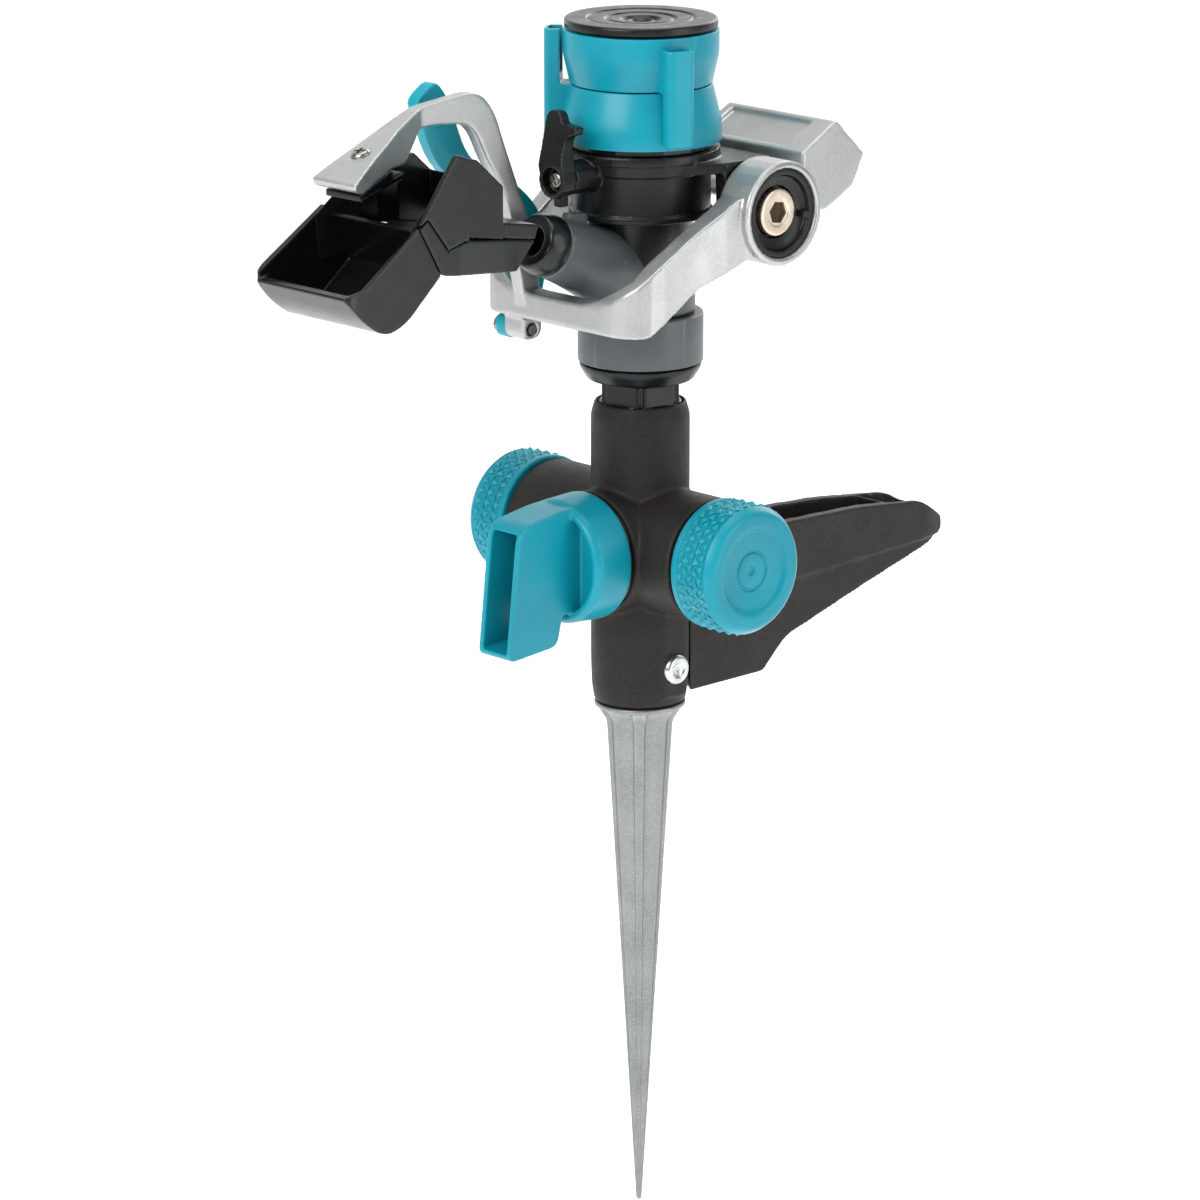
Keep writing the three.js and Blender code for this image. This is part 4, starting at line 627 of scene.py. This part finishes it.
collar = lathe("collar", [(10.6, 108.9), (COLLAR_R, 108.9, 0.5), (COLLAR_R, 123.9, 0.7), (14.8, 123.9),
                          (14.8, 111), (10.6, 111)], segments=128)
fit(shown("swivel_collar", collar, grey_polyamide), "head", "grey_plastic", "collar_nut")


def inlet():
    """The cone under the collar, the hexagon with a notch at each corner and the root in the tap body."""
    cone = lathe("cone", [(0, 97.2), (11.6, 97.2), (11.6, 102.6), (16.2, 103.3, 0.6), (18.4, 106.8, 1.2),
                          (18.7, 108.4, 0.4), (0, 108.4)], segments=96)
    corner_r = HEX_ACROSS_FLATS / math.cos(math.pi / 6) / 2
    angles = [math.radians(60 * i + HEX_TURN) for i in range(6)]
    corners = [(corner_r * math.cos(a), corner_r * math.sin(a), 1.0) for a in angles]
    hexagon = prism("hexagon", corners, 95, 103.2)
    notches = []
    for x, y, _ in corners:
        notches.append(lathe("notch", [(0, 94), (1.3, 94), (1.3, 102.6), (0, 102.6)],
                             Matrix.Translation((x * 0.965, y * 0.965, 0)), segments=24))
    root = lathe("root", [(0, 80), (12.7, 80), (12.7, 96.2), (0, 96.2)])
    return moulded(merged([cone, carved(hexagon, *notches), root]), 0.34, 2)


fit(shown("inlet_swivel_half", inlet(), satin_acetal, 60), "base", "gloss_black", "inlet_adapter")


def riser():
    """The riser with its flange, the inclined jet elbow and the fin above it."""
    tube = lathe("riser", [(0, 112), (14, 112), (14, 124.4), (16.6, 124.4, 0.5), (16.6, 131.9, 0.8),
                           (13.2, 131.9), (13.2, 150), (0, 150)], segments=128)
    elbow = lathe("elbow", [(0, 0), (12.6, 0), (12.3, 15, 6), (9.8, 32, 8), (9.3, 40.8, 0.4), (5.5, 40.8),
                            (5.5, 34), (0, 34)], ALONG_JET, segments=96)
    fin = prism("fin", [(22.8, 140), (22.8, 149), (23.4, 157, 0.5), (30.9, 158.2, 0.8), (33.5, 151, 1),
                        (33.5, 140)], -1.6, 1.6, SIDE_PLATE)
    return moulded(merged([tube, elbow, fin]), 0.45, 4)


fit(shown("riser_and_elbow", riser(), grey_polyamide, 60), "head", "grey_plastic", "riser_elbow")
nozzle = lathe("nozzle", [(3.6, 41.4), (9.55, 41.4, 0.4), (9.55, 44.2, 1.2), (8.2, 48.6, 1.0),
                          (4.9, 48.6, 0.6), (3.6, 46.5)], ALONG_JET)
fit(shown("jet_nozzle", nozzle, gloss_acetal), "head", "gloss_black", "nozzle_tip")
drum_shell = lathe("drum_shell", [(13.8, 132.5), (15.7, 132.5, 0.4), (15.8, 154.1, 0.3), (21.7, 154.1, 0.5),
                                  (21.7, 156, 0.4), (21.15, 156.5, 0.2), (21.15, 168, 0.3),
                                  (22.1, 168.6, 0.3), (22.1, 171.9, 0.3), (23.95, 172, 0.5),
                                  (23.95, 174.75, 0.5), (7, 174.75), (7, 171), (18.7, 171), (18.7, 156.6),
                                  (13.8, 156.6)], segments=160)
fit(shown("drum_and_bracket", merged([drum_shell, moulded(frame_copy("drum_housing"), 0.4, 4)]),
          satin_acetal, 50), "head", "gloss_black", "drum_housing")


# ---------------------------------------------------------------- rings and disc

def tab_mesh(azimuth, low, high, inside, root, well_from):
    """A post outside the rings from low to high, on a foot between the two heights of root. Its well is
    open above."""
    edge = [(-3.2, -29.0, 1.0), (3.2, -29.0, 1.0), (4.6, -27.6, 1.4)]
    outline = [(-4.6, -inside, 0.3), (-4.6, -27.6, 1.4), *edge, (4.6, -inside, 0.3)]
    upright = prism("upright", outline, low, high)
    foot = prism("foot", [(-4.6, -20), (-4.6, -27.6, 1.4), *edge, (4.6, -20)], root[0], root[1])
    skin = moulded(merged([upright, foot]), 0.26, 2)
    well = prism("well", [(-3.3, -well_from, 0.4), (-3.3, -27.9, 1.0), (3.3, -27.9, 1.0),
                          (3.3, -well_from, 0.4)], high - 13.5, high + 1)
    mesh = carved(skin, well)
    mesh.transform(Matrix.Rotation(math.radians(azimuth), 4, "Z"))
    return mesh


def ring_band(profile):
    """One sector ring's band, without its tab."""
    return lathe("band", profile, segments=160, radius=0.35)


lower_band = ring_band([(RING_BORE, RING_FOOT), (24.4, RING_FOOT, 0.3), (24.4, 182.2, 2.5),
                        (21.6, RING_SPLIT, 0.3), (RING_BORE, RING_SPLIT)])
upper_band = ring_band([(RING_BORE, 194.1), (21.5, 194.1, 0.3), (23.5, 203, 1.4), (23.5, RING_CROWN, 0.4),
                        (RING_BORE, RING_CROWN)])
lower_ring = merged([tab_mesh(-50, RING_FOOT, 210, 24.1, (RING_FOOT, 193.6), 23.4), lower_band])
upper_ring = merged([tab_mesh(71, 178.4, 207.2, 25, (194.2, 207.2), 23.4), upper_band])
fit(shown("sector_ring_low", lower_ring, teal_abs), "lower_ring", "teal_plastic", "sector_ring_lower")
fit(shown("sector_ring_high", upper_ring, teal_abs), "upper_ring", "teal_plastic", "sector_ring_upper")

# A raised rim, then three steps down to the dimple at the middle.
disc_profile = [(0, DISC_FOOT), (DISC_R, DISC_FOOT, 0.3), (DISC_R, 213.0, 0.5), (22.6, 213.5, 0.3),
                (16.7, 213.5), (16.2, 213.0, 0.2), (15.6, 213.0, 0.2), (15.2, 213.3), (11.2, 213.2),
                (10.6, 212.6), (9.8, 212.6), (9.2, 213.1), (6.4, 212.9), (5.4, 212.0), (4.4, 212.0),
                (3.8, 212.5), (2.6, 211.6), (0, 211.5)]
disc = lathe("disc", disc_profile, radius=0.15, segments=160)
fit(shown("top_cap_disc", disc, satin_acetal), "base", "gloss_black", "top_disc")


# ---------------------------------------------------------------- rocker

fit(shown("rocker_casting", moulded(frame_copy("rocker_arm"), 0.46, 6), cast_zinc, 60),
    "rocker", "cast_zinc", "rocker_arm")
for rim_side, rim_turn in (("right", 0), ("left", math.pi)):
    rim_place = Matrix.Translation(PIVOT) @ Matrix.Rotation(rim_turn, 4, "Z") @ ALONG_X
    eye_rim = lathe("eye_rim", [(13.75, 40.6), (15.3, 40.6), (15.35, 42.05, 0.5), (14.1, 42.1, 0.3),
                                (13.75, 41.6, 0.2)], rim_place, segments=128, radius=0.1)
    turned_rim = shown("eye_rim_" + rim_side, eye_rim, turned_zinc)
    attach(turned_rim, "rocker")
fit(shown("scoop_moulding", moulded(frame_copy("deflector_scoop"), 0.34, 2), gloss_acetal, 60),
    "rocker", "gloss_black", "deflector_scoop")
# Thin webs inside the two shells of the jet guide close the seam between them against the light.
left_web = [(98, 154), (112, 152.5), (113.5, 166), (104, 172.8), (96, 175)]
right_web = [(98, 154), (111, 152.5), (108.4, 166), (103, 171.5), (96, 174)]
seam_web = [(97.4, 151.9), (99.4, 151.9), (100.6, 154), (97.4, 154)]
split_webs = [prism("web", left_web, -18.3, -17.9, SIDE_PLATE),
              prism("web", right_web, 17.9, 18.3, SIDE_PLATE), prism("web", seam_web, -18, 18, SIDE_PLATE)]
fit(shown("guide_top_shell", merged([moulded(frame_copy("guide_upper"), 0.34, 2), *split_webs]),
          gloss_acetal, 60), "rocker", "gloss_black", "guide_upper")
guide_webs = []
cheek_web = [(57.8, 154.8), (57.6, 156.8), (89, 161.8), (96, 159.8), (95.5, 157.2), (89, 159)]
for web_low, web_high in ((-12.9, -12.4), (12.4, 12.9)):
    guide_webs.append(prism("web", cheek_web, web_low, web_high, SIDE_PLATE))
fit(shown("guide_low_shell", merged([moulded(frame_copy("guide_lower"), 0.34, 2), *guide_webs]),
          gloss_acetal, 60), "rocker", "gloss_black", "guide_lower")
fit(shown("range_lever_blade", moulded(frame_copy("jet_lever"), 0.4, 4), teal_abs_bright, 60),
    "range_lever", "teal_plastic", "jet_lever")
fit(shown("trip_finger", moulded(frame_copy("trip_lever"), 0.26, 4), satin_acetal, 60),
    "trip", "gloss_black", "trip_lever")


def cross_head(name, radius, seat, dome, place):
    """A domed screw head with a cross slot, made about Z."""
    top = seat + dome
    head = lathe("head", [(0, seat), (radius, seat, 0.1), (radius, seat + 0.5, 0.4),
                          (radius * 0.8, top - 0.2, 0.6), (0, top)], segments=48, radius=0.1)
    half = radius * 0.62
    arms = []
    for turn in (0.4, 0.4 + math.pi / 2):
        arm = prism("arm", [(-half, -0.38), (half, -0.38), (half, 0.38), (-half, 0.38)], top - 1.1, top + 1,
                    Matrix.Rotation(turn, 4, "Z"), radius=0.2)
        arms.append(arm)
    mesh = carved(head, *arms)
    mesh.transform(place)
    return mesh


beak_seat = at(-6, 106.5, 194 - 28.5 * math.tan(BEAK_SLOPE)) @ Matrix.Rotation(BEAK_SLOPE, 4, "X")
fit(shown("beak_screw_head", cross_head("beak", 2.9, -0.3, 1.5, metres(beak_seat)), stainless),
    "rocker", "stainless", "beak_screw")
fit(shown("trip_screw_head", cross_head("trip", 2.7, 34.1, 1.6, metres(at(0, 0, 168.4) @ ALONG_FORWARD)),
          stainless), "head", "stainless", "trip_screw")


def pivot_set(side):
    """The dished bush in one of the rocker's eyes, and the pivot screw whose head shows inside it."""
    mirror = Matrix.Rotation(0 if side == "right" else math.pi, 4, "Z")
    place = Matrix.Translation(PIVOT) @ mirror @ ALONG_X
    face = EYE_FACE - 1
    ring = lathe("ring", [(4.4, 30), (13.45, 30), (13.45, face + 0.2, 0.4), (11.6, face + 0.2, 0.5),
                          (11.2, face - 1.6, 0.5), (9.4, face - 2.4, 0.5), (8.0, face - 2.6),
                          (8.0, face - 4.9), (4.4, face - 4.9)], segments=112, radius=0.3)
    tab_outline = [(9.2, -1.0, 0.4), (12.8, -1.0, 0.4), (12.8, 1.0, 0.4), (9.2, 1.0, 0.4)]
    tab = prism("tab", tab_outline, face - 3, face + 0.1)
    tab.transform(Matrix.Rotation(math.radians(80), 4, "Z"))
    bush = merged([ring, tab])
    bush.transform(metres(place))
    fit(shown("pivot_bush_" + side + "_dished", bush, satin_acetal), "rocker", "gloss_black",
        "pivot_bush_" + side)
    top = EYE_FACE - 2.4
    head = lathe("head", [(0, top - 3.4), (6, top - 3.4), (6, top - 2), (7.2, top - 2, 0.2),
                          (7.2, top - 0.3, 0.5), (6.6, top, 0.3), (4.4, top, 0.15), (4.1, top - 0.3, 0.1),
                          (0, top - 0.3)], segments=96, radius=0.1)
    angles = [math.radians(60 * i + 20) for i in range(6)]
    key_corners = [(KEY_CORNER_R * math.cos(a), KEY_CORNER_R * math.sin(a)) for a in angles]
    socket = prism("socket", key_corners, top - 2.6, top + 1)
    # A dark brass floor in each socket is painted shade for the socket's depth.
    socket_floor = prism("socket_floor", key_corners, top - 2.7, top - 1.1, metres(Matrix.Identity(4)))
    socket_floor.transform(metres(place))
    socket_floor_painted_shade = shown("hex_socket_painted_shade_" + side, socket_floor, socket_brass_painted_shade)
    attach(socket_floor_painted_shade, "head")
    mesh = carved(head, socket)
    mesh.transform(metres(place))
    fit(shown("pivot_screw_" + side + "_head", mesh, warm_nickel), "head", "nickel", "pivot_screw_" + side)


for pivot_side in ("right", "left"):
    pivot_set(pivot_side)


# ---------------------------------------------------------------- pieces kept from the frame

kept = {
    "socket_seal": nitrile,
    "inlet_filter": natural_acetal,
    "spindle": stainless,
    "ring_hub": gloss_acetal,
    "thrust_washer": natural_acetal,
    "cap_seal_right": nitrile,
    "cap_seal_left": nitrile,
    "valve_plug": natural_acetal,
    "valve_o_ring": nitrile,
    "valve_screw": stainless,
    "riser_seal": nitrile,
    "spindle_bush": natural_acetal,
    "spindle_o_ring": nitrile,
    "jet_lever_pin": stainless,
}
for kept_name, kept_finish in kept.items():
    kept_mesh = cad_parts[kept_name].data
    for index in range(len(kept_mesh.materials)):
        kept_mesh.materials[index] = kept_finish


# ---------------------------------------------------------------- floor, light and camera

def stage_floor(away):
    """A pale paper sweep: flat under the spike's tip, then curved up. away points from the camera."""
    z = cad_box[0][2] - 0.5 * MM
    # In metres: the flat stretch behind the spike, the curve's radius, the height and the half width.
    flat, turn, rise, half_width = 1.4, 1.2, 3.0, 4
    steps = 24
    across = Vector((-away.y, away.x, 0))
    angles = [math.pi / 2 * i / steps for i in range(1, steps + 1)]
    profile = [(-3.0, 0.0), (flat, 0.0)]
    profile += [(flat + turn * math.sin(a), turn * (1 - math.cos(a))) for a in angles]
    profile.append((flat + turn, rise))
    vertices = []
    for distance, height in profile:
        for side in (-half_width, half_width):
            vertices.append(away * distance + across * side + Vector((0, 0, z + height)))
    faces = [(2 * i, 2 * i + 2, 2 * i + 3, 2 * i + 1) for i in range(len(profile) - 1)]
    mesh = bpy.data.meshes.new("sweep")
    mesh.from_pydata(vertices, [], faces)
    mesh.shade_smooth()
    floor = bpy.data.objects.new("sweep", mesh)
    bpy.context.scene.collection.objects.link(floor)
    paper = bpy.data.materials.new("sweep_paper")
    paper.use_nodes = True
    shader = paper.node_tree.nodes["Principled BSDF"]
    shader.inputs["Base Color"].default_value = linear("#f7f7f6")
    shader.inputs["Roughness"].default_value = 0.9
    shader.inputs["Emission Color"].default_value = linear("#ffffff")
    shader.inputs["Emission Strength"].default_value = 0.42
    mesh.materials.append(paper)


def soft_box(name, place, aim, size, power):
    """A rectangular soft light, with its size in metres and its power in watts."""
    light = bpy.data.lights.new(name, "AREA")
    light.shape = "RECTANGLE"
    light.size, light.size_y = size
    light.energy = power
    lamp = bpy.data.objects.new(name, light)
    bpy.context.scene.collection.objects.link(lamp)
    lamp.location = place
    lamp.rotation_euler = (Vector(aim) - Vector(place)).to_track_quat("-Z", "Y").to_euler()


AZIMUTH, ELEVATION = math.radians(46.5), math.radians(15)
CAMERA_DISTANCE = 1750
LENS_LENGTH = 171
SENSOR_WIDTH = 36
AIM_RIGHT, AIM_Z = -12.28, 33      # where the camera looks: along the view's right, and its height
right = Vector((math.cos(AZIMUTH), math.sin(AZIMUTH), 0))
back = Vector((math.sin(AZIMUTH) * math.cos(ELEVATION), -math.cos(AZIMUTH) * math.cos(ELEVATION),
               math.sin(ELEVATION)))
target = (right * AIM_RIGHT + Vector((0, 0, AIM_Z))) * MM
flat_back = Vector((back.x, back.y, 0)).normalized()
middle = Vector((0, 0, 0.06))
stage_floor(-flat_back)
soft_box("key", middle + right * -0.75 + flat_back * 0.9 + Vector((0, 0, 0.75)), middle, (0.8, 0.8), 14)
soft_box("fill", middle + right * 1.0 + flat_back * 0.55 + Vector((0, 0, 0.25)), middle, (0.6, 1.2), 4.5)
soft_box("top", middle + Vector((0, 0, 1.1)), middle, (0.9, 0.9), 6)
soft_box("rim", middle + right * 0.5 + flat_back * -0.9 + Vector((0, 0, 0.6)), middle, (0.8, 0.8), 5)

world = bpy.data.worlds.new("studio")
bpy.context.scene.world = world
world.use_nodes = True
sky = world.node_tree.nodes["Background"]
sky.inputs["Color"].default_value = linear("#f2f4f5")
sky.inputs["Strength"].default_value = 0.5

lens = bpy.data.cameras.new("camera")
lens.sensor_width = SENSOR_WIDTH
lens.lens = LENS_LENGTH
lens.clip_start = 0.1
lens.clip_end = 20
camera = bpy.data.objects.new("camera", lens)
bpy.context.scene.collection.objects.link(camera)
camera.location = target + back * (CAMERA_DISTANCE * MM)
camera.rotation_euler = (-back).to_track_quat("-Z", "Y").to_euler()
bpy.context.scene.camera = camera
bpy.context.scene.view_settings.view_transform = "Standard"
